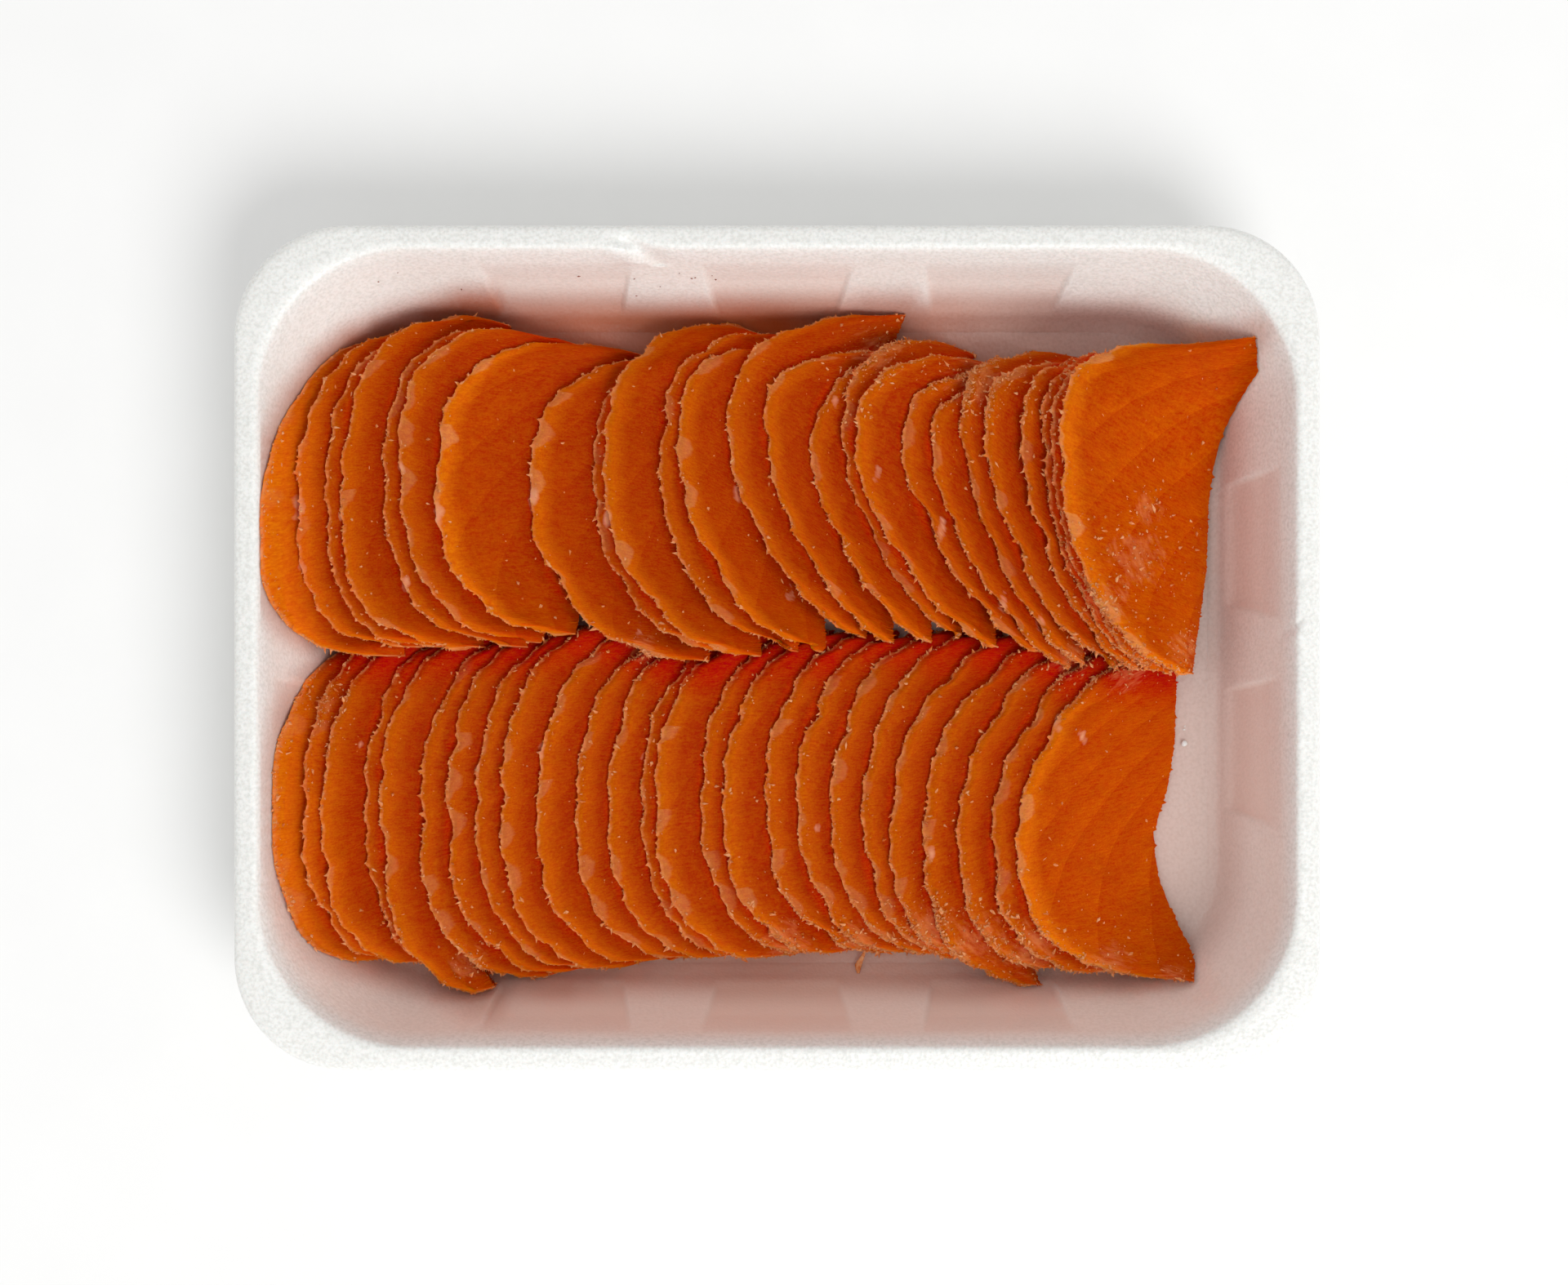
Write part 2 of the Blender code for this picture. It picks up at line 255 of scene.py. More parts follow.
def side_columns(centres, half_width, reach):
    """Places along a straight side, and how deep in a panel each one is."""
    places, depths = [], []
    here = -reach
    inside = 2 * half_width - PANEL_BEVEL
    share = np.arange(BEVEL_STEPS) / BEVEL_STEPS
    bevel = smooth(share, 0, 1)
    for centre in centres:
        start = centre - half_width - PANEL_BEVEL / 2
        places += list(np.linspace(here, start, RIB_STEPS, endpoint=False))
        places += list(start + PANEL_BEVEL * share)
        places += list(start + PANEL_BEVEL + inside * np.arange(PANEL_STEPS) / PANEL_STEPS)
        places += list(start + PANEL_BEVEL + inside + PANEL_BEVEL * share)
        depths += [0.0] * RIB_STEPS + list(bevel) + [1.0] * PANEL_STEPS + list(1 - bevel)
        here = start + 2 * PANEL_BEVEL + inside
    places += list(np.linspace(here, reach, RIB_STEPS, endpoint=False))
    depths += [0.0] * RIB_STEPS
    return np.array(places), np.array(depths)


def tray_ring(inset, level, recess):
    """One ring round the tray, counter-clockwise from the right side, and how deep in a panel each point is.
    Millimetres."""
    half_x, half_y = TRAY_HALF - inset
    radius = np.interp(inset, CORNER_INSETS, CORNER_RADII)
    half_panel = np.interp(level, (FLOOR_HEIGHT, LIP_HEIGHT), (PANEL_HALF_FLOOR, PANEL_HALF_TOP))
    rings, panels = [], []
    for side in range(4):
        across, along = (half_x, half_y) if side % 2 == 0 else (half_y, half_x)
        centres = SHORT_PANELS if side % 2 == 0 else LONG_PANELS
        places, depths = side_columns(centres, half_panel, along - radius)
        angles = np.arange(CORNER_STEPS) / CORNER_STEPS * math.pi / 2
        x = np.concatenate((
            across + PANEL_DEPTH * recess * depths, across - radius + radius * np.cos(angles),
        ))
        y = np.concatenate((places, along - radius + radius * np.sin(angles)))
        rings.append(np.stack((*rotated(x, y, math.pi / 2 * side), np.full(len(x), level)), axis=-1))
        panels.append(np.concatenate((recess * depths, 0 * angles)))
    return np.vstack(rings), np.concatenate(panels)


def gouged(points):
    """The tray's points with the ridge and the groove of each gouge in the lip."""
    for start, end, width, height, depth in GOUGES:
        along = np.subtract(end, start)
        length = np.linalg.norm(along)
        along /= length
        away = points[:, :2] - start
        run = away @ along / length
        off = away @ (-along[1], along[0])
        # Even along most of its run, it runs out at both ends and is shallower at the far one.
        reach = np.clip(1 - (2 * run - 1) ** 6, 0, 1) * np.clip(1.25 - 0.5 * run, 0, 1)
        reach[(run < 0) | (run > 1) | (points[:, 2] < LIP_BEGINS)] = 0
        ridge = height * np.exp(-(off / width) ** 2)
        groove = depth * np.exp(-((off - GROOVE_AWAY * width) / width) ** 2)
        points[:, 2] = np.minimum(points[:, 2] + reach * (ridge - groove), LIP_HEIGHT)
    return points


def filled_in(points, step):
    """A line of points with more of them put in, so that no two are further apart than the step."""
    run = run_along(points[:, :2])
    more = np.concatenate([
        np.linspace(start, end, max(1, math.ceil((end - start) / step)), endpoint=False)
        for start, end in zip(run, run[1:])
    ] + [run[-1:]])
    return np.stack([np.interp(more, run, points[:, n]) for n in range(points.shape[1])], axis=-1)


def by_direction(points, shares):
    """Values given for directions evenly spaced from the right round by the back, blended between them."""
    angle = np.arctan2(points[:, 1] / TRAY_HALF[1], points[:, 0] / TRAY_HALF[0])
    turns = np.mod(angle / (2 * math.pi), 1) * len(shares)
    return np.interp(turns, np.arange(len(shares) + 1), list(shares) + [shares[0]])


def plan_distance(points, others):
    """How far each point lies from the nearest of the others, seen from above."""
    nearest = KDTree(len(others))
    for n, (x, y, _) in enumerate(others):
        nearest.insert((x, y, 0.0), n)
    nearest.balance()
    return np.array([nearest.find((x, y, 0.0))[2] for x, y, _ in points])


def store(piece, name, values):
    """Keeps one number for each point of a piece's mesh, under a name that materials can read."""
    layer = piece.data.attributes.new(name, "FLOAT", "POINT")
    layer.data.foreach_set("value", np.ascontiguousarray(values, np.float32).reshape(-1))


# Expanded polystyrene: white closed cells under a thin smooth skin, so it is matt with a soft satin light on
# its lip that the cells break into specks. Its inside is warmed by the juice's stain, by painted shade beside
# the fish and low in the dish, and by a painted reflection of the light off the fish. The cells and the
# specks are drawn coarser than real cells, so that they show. The skin's faint patches are 4 mm wide.
FOAM_CELL = 0.8 * MM
SPECKS_PER_MM = 1.3
PATCHES_PER_MM = 0.26
foam, tree, shader = new_material(
    "expanded_polystyrene_foam", Roughness=0.36, IOR=1.5, Specular_IOR_Level=0.5,
    Subsurface_Radius=(1.0, 0.8, 0.7), Subsurface_Scale=2.5 * MM,
)
# Light that goes through the foam softens the shade beside the fish.
tree.links.new(
    add(tree, "ShaderNodeMapRange", {
        0: add(tree, "ShaderNodeAttribute", attribute_name="beside_fish").outputs["Fac"], 3: 0.15, 4: 1.0,
    }).outputs[0],
    shader.inputs["Subsurface Weight"],
)
place = add(tree, "ShaderNodeTexCoord").outputs["Object"]
cells = add(tree, "ShaderNodeTexVoronoi", {"Vector": place, "Scale": 1 / FOAM_CELL})
skin = add(tree, "ShaderNodeTexNoise", {"Vector": place, "Scale": PATCHES_PER_MM / MM, "Detail": 3.0})
specks = add(tree, "ShaderNodeTexNoise", {"Vector": place, "Scale": SPECKS_PER_MM / MM, "Detail": 2.0})
shade = add(tree, "ShaderNodeMix", {
    0: skin, 6: linear("#F1F1ED"), 7: linear("#FAFAF7"),
}, data_type="RGBA")
# Over the white, one after the other: the specks, the painted blush of light off the fish, and the juice's
# stain with painted shade.
for share, code in (
    (add(tree, "ShaderNodeMapRange", {0: specks, 1: 0.4, 2: 0.7, 3: 0.0, 4: 0.75}), "#DEDED9"),
    (add(tree, "ShaderNodeAttribute", attribute_name="blush").outputs["Fac"], "#F2D8CB"),
    (add(tree, "ShaderNodeAttribute", attribute_name="shade_and_stain").outputs["Fac"], "#B05828"),
):
    shade = add(tree, "ShaderNodeMix", {0: share, 6: shade, 7: linear(code)}, data_type="RGBA")
tree.links.new(shade.outputs[2], shader.inputs["Base Color"])
grain = add(tree, "ShaderNodeBump", {
    "Strength": 0.5, "Distance": 0.12 * MM, "Height": cells.outputs["Distance"],
})
tree.links.new(grain.outputs[0], shader.inputs["Normal"])

inner = filled_in(rounded_off(INNER_SKIN, 2), RING_STEP)
outer = rounded_off(OUTER_SKIN, 1)
section = np.vstack((inner[::-1], outer[::-1][1:]))
rings, panels = zip(*(tray_ring(*row) for row in section))
count = len(rings[0])
tray_points = gouged(np.vstack(rings))
tray_faces = []
for ring in range(len(section) - 1):
    for i in range(count):
        j = (i + 1) % count
        tray_faces.append((
            ring * count + j, ring * count + i, (ring + 1) * count + i, (ring + 1) * count + j,
        ))
last = (len(section) - 1) * count
tray_faces.append(tuple(range(count)))
tray_faces.append(tuple(last + i for i in range(count))[::-1])
tray = mesh_piece("foam_tray", tray_points * MM, tray_faces, foam)

# The painted shade with the juice's stain, and the painted blush of the fish's light: the distance of each
# point of the foam from the imported slices' edges.
SLICES = sorted(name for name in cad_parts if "slice" in name)
along_edges = []
for name in SLICES:
    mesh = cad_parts[name].data
    ends = np.array([[mesh.vertices[v].co for v in edge.vertices] for edge in mesh.edges])
    along_edges += [ends[:, 0] + (ends[:, 1] - ends[:, 0]) * share for share in (0.0, 0.25, 0.5, 0.75)]
in_dish = np.repeat([n < len(inner) and row[0] > DISH_INSET for n, row in enumerate(section)], count)
away = plan_distance(tray_points * MM, np.vstack(along_edges)) / MM
# Painted shade and the juice's stain: beside the slices, and low on the floor.
store(tray, "shade_and_stain", in_dish * np.maximum(
    by_direction(tray_points, SHADE_AND_STAIN_SHARES) * (1 - smooth(away, *SHADE_AND_STAIN_REACH)),
    by_direction(tray_points, FLOOR_SHADE_AND_STAIN_SHARES) * (1 - smooth(tray_points[:, 2], *FLOOR_ENDS)),
))
store(tray, "beside_fish", in_dish * (1 - smooth(away, *GLOW_REACH)))
# Painted blush: the reflection of the fish's light, with painted shade on walls turned from the lamp and in the
# panels.
store(tray, "blush", in_dish * (1 - smooth(tray_points[:, 2], *BLUSH_FADES)) * (
    by_direction(tray_points, BLUSH_SHARES) + PANEL_BLUSH * np.concatenate(panels)
))
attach(tray, "root")
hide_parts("tray")


# The slices: raw salmon, cut across the side about 3 mm thick and still half frozen, so that each keeps a
# ragged, frosted rim. They are laid by hand from left to right, each over its left neighbour, the lower row
# first.

# The sheet's mesh: the rings along a slice, and the shares of its width at which columns lie. Those on the
# upper side lie closer together towards the rounded edge, the less evenly the smaller the evenness is. They
# end with three by the straight edge, with some room before them. The rest lie on the underside.
RINGS = 300
TOP_STEPS = 26
EVENNESS = 0.1
COLUMN_ROOM = 0.02
RIGHT_RIM_SHARES = (0.962, 0.982, 0.993)
UNDER_SHARES = (0.988, 0.95, 0.8, 0.6, 0.42, 0.3, 0.22, 0.16, 0.11, 0.07, 0.03, 0.003)
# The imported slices: the steps across each, the least upward turn of a face of the upper side, how close
# corners lie that are one, and the points that are read off each edge for the outline.
ACROSS = 3
UPWARD = 0.02
WELD = 0.01 * MM
OUTLINE_POINTS = 90
# The rim: its cut face's share of the thickness, and the width of the soft slope behind that. The cut face
# leans in a little under the rim, because the underside starts further in.
RIM_CUT = 0.45
RIM_SLOPE = 2.5 * MM
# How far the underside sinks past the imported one, so that each slice lies on what is below it, and how much
# further the first slice's rim and every end by the tray's wall sink, which sets in between two shares of a
# slice's length. None sinks into the foam by more than the skin's give, a slice is nowhere thinner than the
# thinnest, and the crown is the most that its rim's slope is reckoned from.
SETTLED = 1.0 * MM
SUNK = 4.0 * MM
WALL_END = (0.85, 1.0)
GIVE = 0.1 * MM
THINNEST = 2.0 * MM
CROWN = 4.5 * MM
# How far the corner by the tray's wall droops towards the tray's middle and reaches on to the right, and
# which end it is at. Then the shares of a slice's length between which the droop sets in, and the slices
# that don't droop.
DROOP = {"upper": (3.6 * MM, 3.5 * MM, 1), "lower": (2.2 * MM, 0.5 * MM, -1)}
DROOPING_END = (0.6, 0.97)
STIFF = ("upper_slice_13", "upper_slice_15", "upper_slice_25", "lower_slice_22", "lower_slice_25")
# The last slices' straight edges are in full view, and bulge in places. For each, from the front: how far
# back, and by how much there, in millimetres.
BULGES = {
    "upper_slice_25": (
        (1.3, 8.2, 16.7, 35.9, 45.3, 53.8, 60.7, 65.5, 68.0), (0.0, 0.8, 1.9, 2.4, 3.1, 4.4, 5.2, 2.5, 0.8),
    ),
    "lower_slice_25": (
        (-74.0, -70.5, -66.7, -59.8, -51.3, -41.9, -32.1, -22.7, -14.2, -7.3),
        (-0.7, 2.7, 3.9, 3.7, 2.2, 0.9, 2.2, 2.0, 1.0, 0.5),
    ),
}
# How far the first slices lean out over the left wall, in how wide a strip, and how much of the others'
# tearing their rims have, because the wall holds them.
LEAN = 1.7 * MM
LEANING_STRIP = 7 * MM
HELD = 0.3
# The grid on which the foam's height is known: its step and its steps each way from the tray's middle.
FOAM_STEP = 1.0 * MM
FOAM_STEPS = (116, 90)
# How many of the slices laid next can shut one in, and the distance, in millimetres, of what none covers.
NEXT_SLICES = 6
UNCOVERED = 99.0
# Where frost and torn crumbs have gathered: the middle and the reach of each patch, in millimetres, and how
# strong the frost is in the middle of it.
FROSTED = (
    (-68.8, -69.7, 5.0), (-100.0, -13.0, 4.0), (2.0, -66.5, 8.0), (18.0, -66.5, 8.0), (34.0, -62.0, 8.0),
    (45.0, -64.0, 9.0), (56.0, -68.0, 9.0), (74.0, -71.0, 8.0), (66.0, -3.0, 7.0), (78.0, -5.5, 7.0),
    (22.0, 66.0, 8.0), (44.0, 60.0, 9.0), (-30.0, 0.0, 5.0), (82.0, 30.0, 6.0), (79.0, 20.0, 10.0),
    (72.0, 10.0, 7.0), (90.0, 0.0, 6.0), (88.0, -73.0, 5.0),
)
FROST_SHARE = 0.52
# Painted glints of light on the ice, given the same way, and the weights of the distances across and back,
# which draw them out.
GLINTS = (
    (-112.0, 20.0, 2.2), (-104.5, 31.0, 2.4), (-104.0, 17.5, 2.0), (-96.0, 29.0, 1.3), (-82.5, 39.5, 1.6),
    (-74.0, 29.5, 2.2), (-54.5, 33.5, 2.4), (-38.0, 28.5, 2.0), (-81.5, 14.0, 1.8), (-30.5, 4.5, 1.6),
    (-9.0, 33.5, 2.4), (3.0, 12.0, 2.0), (50.0, 10.0, 2.2), (58.0, 6.0, 2.0), (-66.0, -27.0, 1.6),
    (-52.0, -22.0, 1.5), (-30.0, -24.0, 1.6), (9.0, -40.0, 1.5), (34.0, -46.0, 1.6), (62.0, -16.0, 1.8),
    (-92.0, -22.0, 1.4), (22.0, 38.0, 2.0), (36.0, 26.0, 2.2), (12.0, 55.0, 2.0), (67.5, -19.5, 1.6),
)
GLINT_SHARE = 0.65
GLINT_STRETCH = (1.6, 0.4)
# How thickly crumbs lie, as shares of the density given with them: everywhere, on a rim, in a frosted patch,
# and on a rim in one. On a rim that fades over the millimetres beside it. None lies nearer to the slice over
# it than the last value, in millimetres.
CRUMBS_ALL_OVER = 0.02
CRUMBS_ON_RIM = (1.1, 0.6)
CRUMBS_IN_FROST = 0.35
CRUMBS_ON_FROSTED_RIM = (5.5, 1.2)
CRUMBS_CLEAR = 0.2


def spline(points, places):
    """Points read off a smooth line through the given ones, at places counted in steps between them."""
    extended = np.concatenate((2 * points[:1] - points[1:2], points, 2 * points[-1:] - points[-2:-1]))
    first = np.clip(np.floor(places).astype(int), 0, len(points) - 2)
    t = (places - first).reshape((-1,) + (1,) * (points.ndim - 1))
    a, b, c, d = (extended[first + n] for n in range(4))
    return b + 0.5 * t * (c - a + t * (2 * a - 5 * b + 4 * c - d + t * (3 * (b - c) + d - a)))


def slice_grid(node):
    """A packed slice's upper side as a grid of points, in rows along it, each from the rounded to the
    straight edge, and the height of its underside below each of them."""
    shape = bmesh.new()
    shape.from_mesh(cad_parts[node].data)
    bmesh.ops.remove_doubles(shape, verts=shape.verts, dist=WELD)
    shape.normal_update()
    upper = {face for face in shape.faces if face.normal.z > UPWARD}
    onward = {}
    for face in upper:
        for loop in face.loops:
            if not any(other in upper for other in loop.edge.link_faces if other != face):
                onward[loop.vert] = loop.link_loop_next.vert
    loop = [min(
        (v for v in onward if sum(face in upper for face in v.link_faces) == 2), key=lambda v: v.co.y,
    )]
    while onward[loop[-1]] != loop[0]:
        loop.append(onward[loop[-1]])
    along = len(loop) // 2 - ACROSS
    straight = np.array([v.co for v in loop[ACROSS:ACROSS + along + 1]])
    rounded = np.array([v.co for v in ([loop[0]] + loop[:-along - 1:-1])])
    tops = {v for face in upper for v in face.verts}
    top = np.array([v.co for v in tops])
    under = np.array([v.co for v in shape.verts if v not in tops])
    shape.free()
    grid = np.zeros((along + 1, ACROSS + 1, 3))
    heights = np.zeros((along + 1, ACROSS + 1))
    for a in range(along + 1):
        for c in range(ACROSS + 1):
            spot = rounded[a] + (straight[a] - rounded[a]) * c / ACROSS
            grid[a, c] = top[np.argmin(((top - spot)[:, :2] ** 2).sum(axis=1))]
            heights[a, c] = under[np.argmin(((under - spot)[:, :2] ** 2).sum(axis=1)), 2]
    return grid, heights - SETTLED


def slice_outline(grid, count):
    """The rounded and the straight edge as smooth lines, evenly spaced along the rounded one, and the rows'
    places."""
    fine = np.linspace(0, len(grid) - 1, 8 * count)
    run = run_along(spline(grid[:, 0], fine))
    places = np.interp(np.linspace(0, run[-1], count), run, fine)
    return spline(grid[:, 0], places), spline(grid[:, -1], places), places


def turned(line):
    """For each point of a line, the direction a quarter turn to its left, seen from above."""
    along = np.gradient(line[:, :2], axis=0)
    along /= np.linalg.norm(along, axis=1)[:, None]
    return np.stack((-along[:, 1], along[:, 0], np.zeros(len(along))), axis=-1)


# The foam's upper side, as heights on a square grid that are read off between its points.
foam_surface = BVHTree.FromPolygons((tray_points * MM).tolist(), tray_faces)
foam_places = [np.arange(-half, half + 1) * FOAM_STEP for half in FOAM_STEPS]
foam_heights = np.zeros([len(places) for places in foam_places])
for i, x in enumerate(foam_places[0]):
    for j, y in enumerate(foam_places[1]):
        hit = foam_surface.ray_cast((x, y, 0.1), (0, 0, -1))[0]
        foam_heights[i, j] = hit.z if hit else 0.0


def foam_under(points):
    """The height of the foam's upper side at each point, seen from above."""
    spots, shares = [], []
    for n, places in enumerate(foam_places):
        spot = np.clip((points[..., n] - places[0]) / FOAM_STEP, 0, len(places) - 1.001)
        spots.append(spot.astype(int))
        shares.append(spot - spots[-1])
    (i, j), (s, t) = spots, shares
    near = foam_heights[i, j] * (1 - t) + foam_heights[i, j + 1] * t
    far = foam_heights[i + 1, j] * (1 - t) + foam_heights[i + 1, j + 1] * t
    return near * (1 - s) + far * s


def drooping(points, drop, reach, end):
    """The sheet's rows of points with the corner at one end drooping from a hump half-way across it."""
    share = np.linspace(0, 1, len(points))[:: end]
    corner = points[np.argmax(share), :, 0].max()
    hump = (points[..., 0].min() + corner) / 2
    t = np.clip((points[..., 0] - hump) / (corner - hump), 0, 1) * smooth(share, *DROOPING_END)[:, None]
    points[..., 1] -= end * drop * t * t
    points[..., 0] += reach * t
    return points


def ring_faces(rings, count):
    """The faces of a closed body between rings of as many points each, with one face over each end."""
    faces = []
    for a in range(rings - 1):
        for c in range(count):
            d = (c + 1) % count
            faces.append((a * count + c, a * count + d, (a + 1) * count + d, (a + 1) * count + c))
    faces.append(tuple(range(count))[::-1])
    faces.append(tuple((rings - 1) * count + c for c in range(count)))
    return faces


def slice_sheet(grid, heights, droop, bulge, lean):
    """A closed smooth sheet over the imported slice: its points in rings, its faces, and each point's distances
    from the edges and direction outwards. A corner droops, the straight edge bulges, and the sheet leans
    out, as far as is asked."""
    rounded, straight, places = slice_outline(grid, RINGS)
    steps = np.arange(TOP_STEPS + 1) / TOP_STEPS
    shares = EVENNESS * steps + (1 - EVENNESS) * steps ** 3
    shares = shares[shares < RIGHT_RIM_SHARES[0] - COLUMN_ROOM]
    shares = np.concatenate((shares, RIGHT_RIM_SHARES, (1.0,)))
    ring = np.concatenate((shares, UNDER_SHARES))
    on_top = np.arange(len(ring)) < len(shares)
    along = spline(grid, places)
    below = spline(np.concatenate((grid[..., :2], heights[..., None]), axis=-1), places)
    top = spline(np.swapaxes(along, 0, 1), ring * ACROSS).swapaxes(0, 1)
    under = spline(np.swapaxes(below, 0, 1), ring * ACROSS).swapaxes(0, 1)
    width = np.linalg.norm((straight - rounded)[:, :2], axis=1)[:, None]
    run = run_along(rounded)
    left = ring * width
    right = (1 - ring) * width
    end = np.minimum(run, run[-1] - run)[:, None] + 0 * left
    edge = np.minimum(np.minimum(left, right), end)
    full = RIM_CUT + (1 - RIM_CUT) * np.sin(np.clip(edge / RIM_SLOPE, 0, 1) * math.pi / 2)
    by_wall = smooth(np.linspace(0, 1, RINGS)[::droop[2]], *WALL_END)[:, None]
    by_side = lean * (1 - smooth(left, 0, LEANING_STRIP))
    points = top.copy()
    points[..., 0] += np.interp(straight[:, 1] / MM, *bulge)[:, None] * MM * ring ** 2 - LEAN * by_side
    points = drooping(points, *droop)
    low = np.maximum(under[..., 2] - SUNK * np.maximum(by_wall, by_side), foam_under(points) - GIVE)
    thick = np.maximum(top[..., 2] - low, THINNEST)
    rise = np.where(on_top, thick - (1 - full) * np.minimum(thick, CROWN), 0)
    points[..., 2] = low + rise
    outward = np.where((left < right)[..., None], turned(rounded)[:, None], -turned(straight)[:, None])
    distances = {
        "left_mm": left, "end_mm": end, "edge_mm": edge, "rise_mm": rise,
        "along_mm": run[:, None] + 0 * left,
    }
    return points.reshape(-1, 3), ring_faces(RINGS, len(ring)), distances, outward.reshape(-1, 3)


def new_tree(name, inputs):
    """A tree of geometry nodes, with these inputs besides its geometry: their names and kinds of socket."""
    made = bpy.data.node_groups.new(name, "GeometryNodeTree")
    for label, kind in (("Geometry", "Geometry"), *inputs):
        made.interface.new_socket(label, in_out="INPUT", socket_type="NodeSocket" + kind)
    made.interface.new_socket("Geometry", in_out="OUTPUT", socket_type="NodeSocketGeometry")
    return made, add(made, "NodeGroupInput").outputs


# One tree of nodes tears every slice's rim and lets its surface go limp: rounded lobes that meet in notches,
# short teeth, a few longer tags, and soft waves all over.
ragged, given = new_tree("ragged_slice", [(name, "Float") for name in (
    "Lobe Depth", "Lobe Length", "Nick Depth", "Nick Length", "Tooth Depth", "Tooth Length", "Tag Length",
    "Wave Height", "Wave Length", "Slice Number",
)] + [("Flesh", "Material")])
left, edge, along, rise = (
    add(ragged, "GeometryNodeInputNamedAttribute", {"Name": name}, data_type="FLOAT")
    for name in ("left_mm", "edge_mm", "along_mm", "rise_mm")
)
outward = add(ragged, "GeometryNodeInputNamedAttribute", {"Name": "outward"}, data_type="FLOAT_VECTOR")
pattern = add(ragged, "ShaderNodeMath", {0: given["Slice Number"], 1: 17.3}, operation="MULTIPLY")
# Lobes and nicks: 0 at the middle of each, deepest between two. Lobes are rounded. Nicks are shorter and
# straight-sided, so that the rim runs in flats and corners.
lobe_cells, nick_cells = (
    add(ragged, "ShaderNodeTexVoronoi", {
        "W": add(ragged, "ShaderNodeMath", {
            0: add(ragged, "ShaderNodeMath", {0: along, 1: given[length]}, operation="DIVIDE"), 1: pattern,
        }, operation="ADD"),
        "Scale": 1.0,
    }, voronoi_dimensions="1D").outputs["Distance"] for length in ("Lobe Length", "Nick Length")
)
lobes = add(ragged, "ShaderNodeMath", {
    0: add(ragged, "ShaderNodeMath", {0: lobe_cells, 1: 2.0}, operation="POWER"),
    1: add(ragged, "ShaderNodeMath", {0: given["Lobe Depth"], 1: -2.6}, operation="MULTIPLY"),
}, operation="MULTIPLY")
nicks = add(ragged, "ShaderNodeMath", {
    0: nick_cells,
    1: add(ragged, "ShaderNodeMath", {0: given["Nick Depth"], 1: -2.0}, operation="MULTIPLY"),
}, operation="MULTIPLY")
lobes = add(ragged, "ShaderNodeMath", {
    0: given["Lobe Depth"], 1: 0.5, 2: add(ragged, "ShaderNodeMath", {0: lobes, 1: nicks}, operation="ADD"),
}, operation="MULTIPLY_ADD")
lobes_fade = add(ragged, "ShaderNodeMath", {
    0: math.e, 1: add(ragged, "ShaderNodeMath", {0: left, 1: -5.0}, operation="DIVIDE"),
}, operation="POWER")
# Teeth and tags: fine noise along the rim, and its few highest peaks drawn out.
tooth_noise = add(ragged, "ShaderNodeTexNoise", {
    "Vector": add(ragged, "ShaderNodeCombineXYZ", {
        0: add(ragged, "ShaderNodeMath", {0: along, 1: given["Tooth Length"]}, operation="DIVIDE"),
        1: add(ragged, "ShaderNodeMath", {0: rise, 1: given["Tooth Length"]}, operation="DIVIDE"),
        2: pattern,
    }),
    "Scale": 1.0, "Detail": 2.0, "Roughness": 0.6,
})
teeth = add(ragged, "ShaderNodeMath", {
    0: add(ragged, "ShaderNodeMath", {0: tooth_noise, 1: 0.5}, operation="SUBTRACT"),
    1: add(ragged, "ShaderNodeMath", {0: given["Tooth Depth"], 1: 4.0}, operation="MULTIPLY"),
}, operation="MULTIPLY")
tags = add(ragged, "ShaderNodeMath", {
    0: add(ragged, "ShaderNodeMapRange", {0: tooth_noise, 1: 0.63, 2: 0.75, 3: 0.0, 4: 1.0}),
    1: given["Tag Length"],
}, operation="MULTIPLY")
rim_fade = add(ragged, "ShaderNodeMath", {
    0: math.e, 1: add(ragged, "ShaderNodeMath", {0: edge, 1: -0.8}, operation="DIVIDE"),
}, operation="POWER")
push = add(ragged, "ShaderNodeMath", {
    0: add(ragged, "ShaderNodeMath", {0: lobes, 1: lobes_fade}, operation="MULTIPLY"),
    1: add(ragged, "ShaderNodeMath", {
        0: add(ragged, "ShaderNodeMath", {0: teeth, 1: tags}, operation="ADD"), 1: rim_fade,
    }, operation="MULTIPLY"),
}, operation="ADD")
wave_noise = add(ragged, "ShaderNodeTexNoise", {
    "Vector": add(ragged, "ShaderNodeCombineXYZ", {0: left, 1: along, 2: pattern}),
    "Scale": add(ragged, "ShaderNodeMath", {0: 1.0, 1: given["Wave Length"]}, operation="DIVIDE"),
    "Detail": 2.0, "Roughness": 0.45,
})
waves = add(ragged, "ShaderNodeMath", {
    0: add(ragged, "ShaderNodeMath", {0: wave_noise, 1: 0.5}, operation="SUBTRACT"),
    1: add(ragged, "ShaderNodeMath", {0: given["Wave Height"], 1: 4.0}, operation="MULTIPLY"),
}, operation="MULTIPLY")
moved = add(ragged, "GeometryNodeSetPosition", {
    "Geometry": given["Geometry"],
    "Offset": add(ragged, "ShaderNodeVectorMath", {
        0: add(ragged, "ShaderNodeVectorMath", {0: outward, "Scale": push}, operation="SCALE"),
        1: add(ragged, "ShaderNodeCombineXYZ", {2: waves}),
    }, operation="ADD"),
})
real = add(ragged, "GeometryNodeRealizeInstances", {"Geometry": moved})
add(ragged, "NodeGroupOutput", {
    0: add(ragged, "GeometryNodeSetMaterial", {"Geometry": real, "Material": given["Flesh"]}),
})


def evaluated(piece, tree, inputs):
    """The piece's mesh as a tree of geometry nodes leaves it, with the given inputs."""
    modifier = piece.modifiers.new(tree.name, "NODES")
    modifier.node_group = tree
    for item in tree.interface.items_tree:
        if item.in_out == "INPUT" and item.name in inputs:
            modifier[item.identifier] = inputs[item.name]
    view = bpy.context.evaluated_depsgraph_get()
    mesh = bpy.data.meshes.new_from_object(
        piece.evaluated_get(view), preserve_all_data_layers=True, depsgraph=view,
    )
    piece.modifiers.remove(modifier)
    return mesh
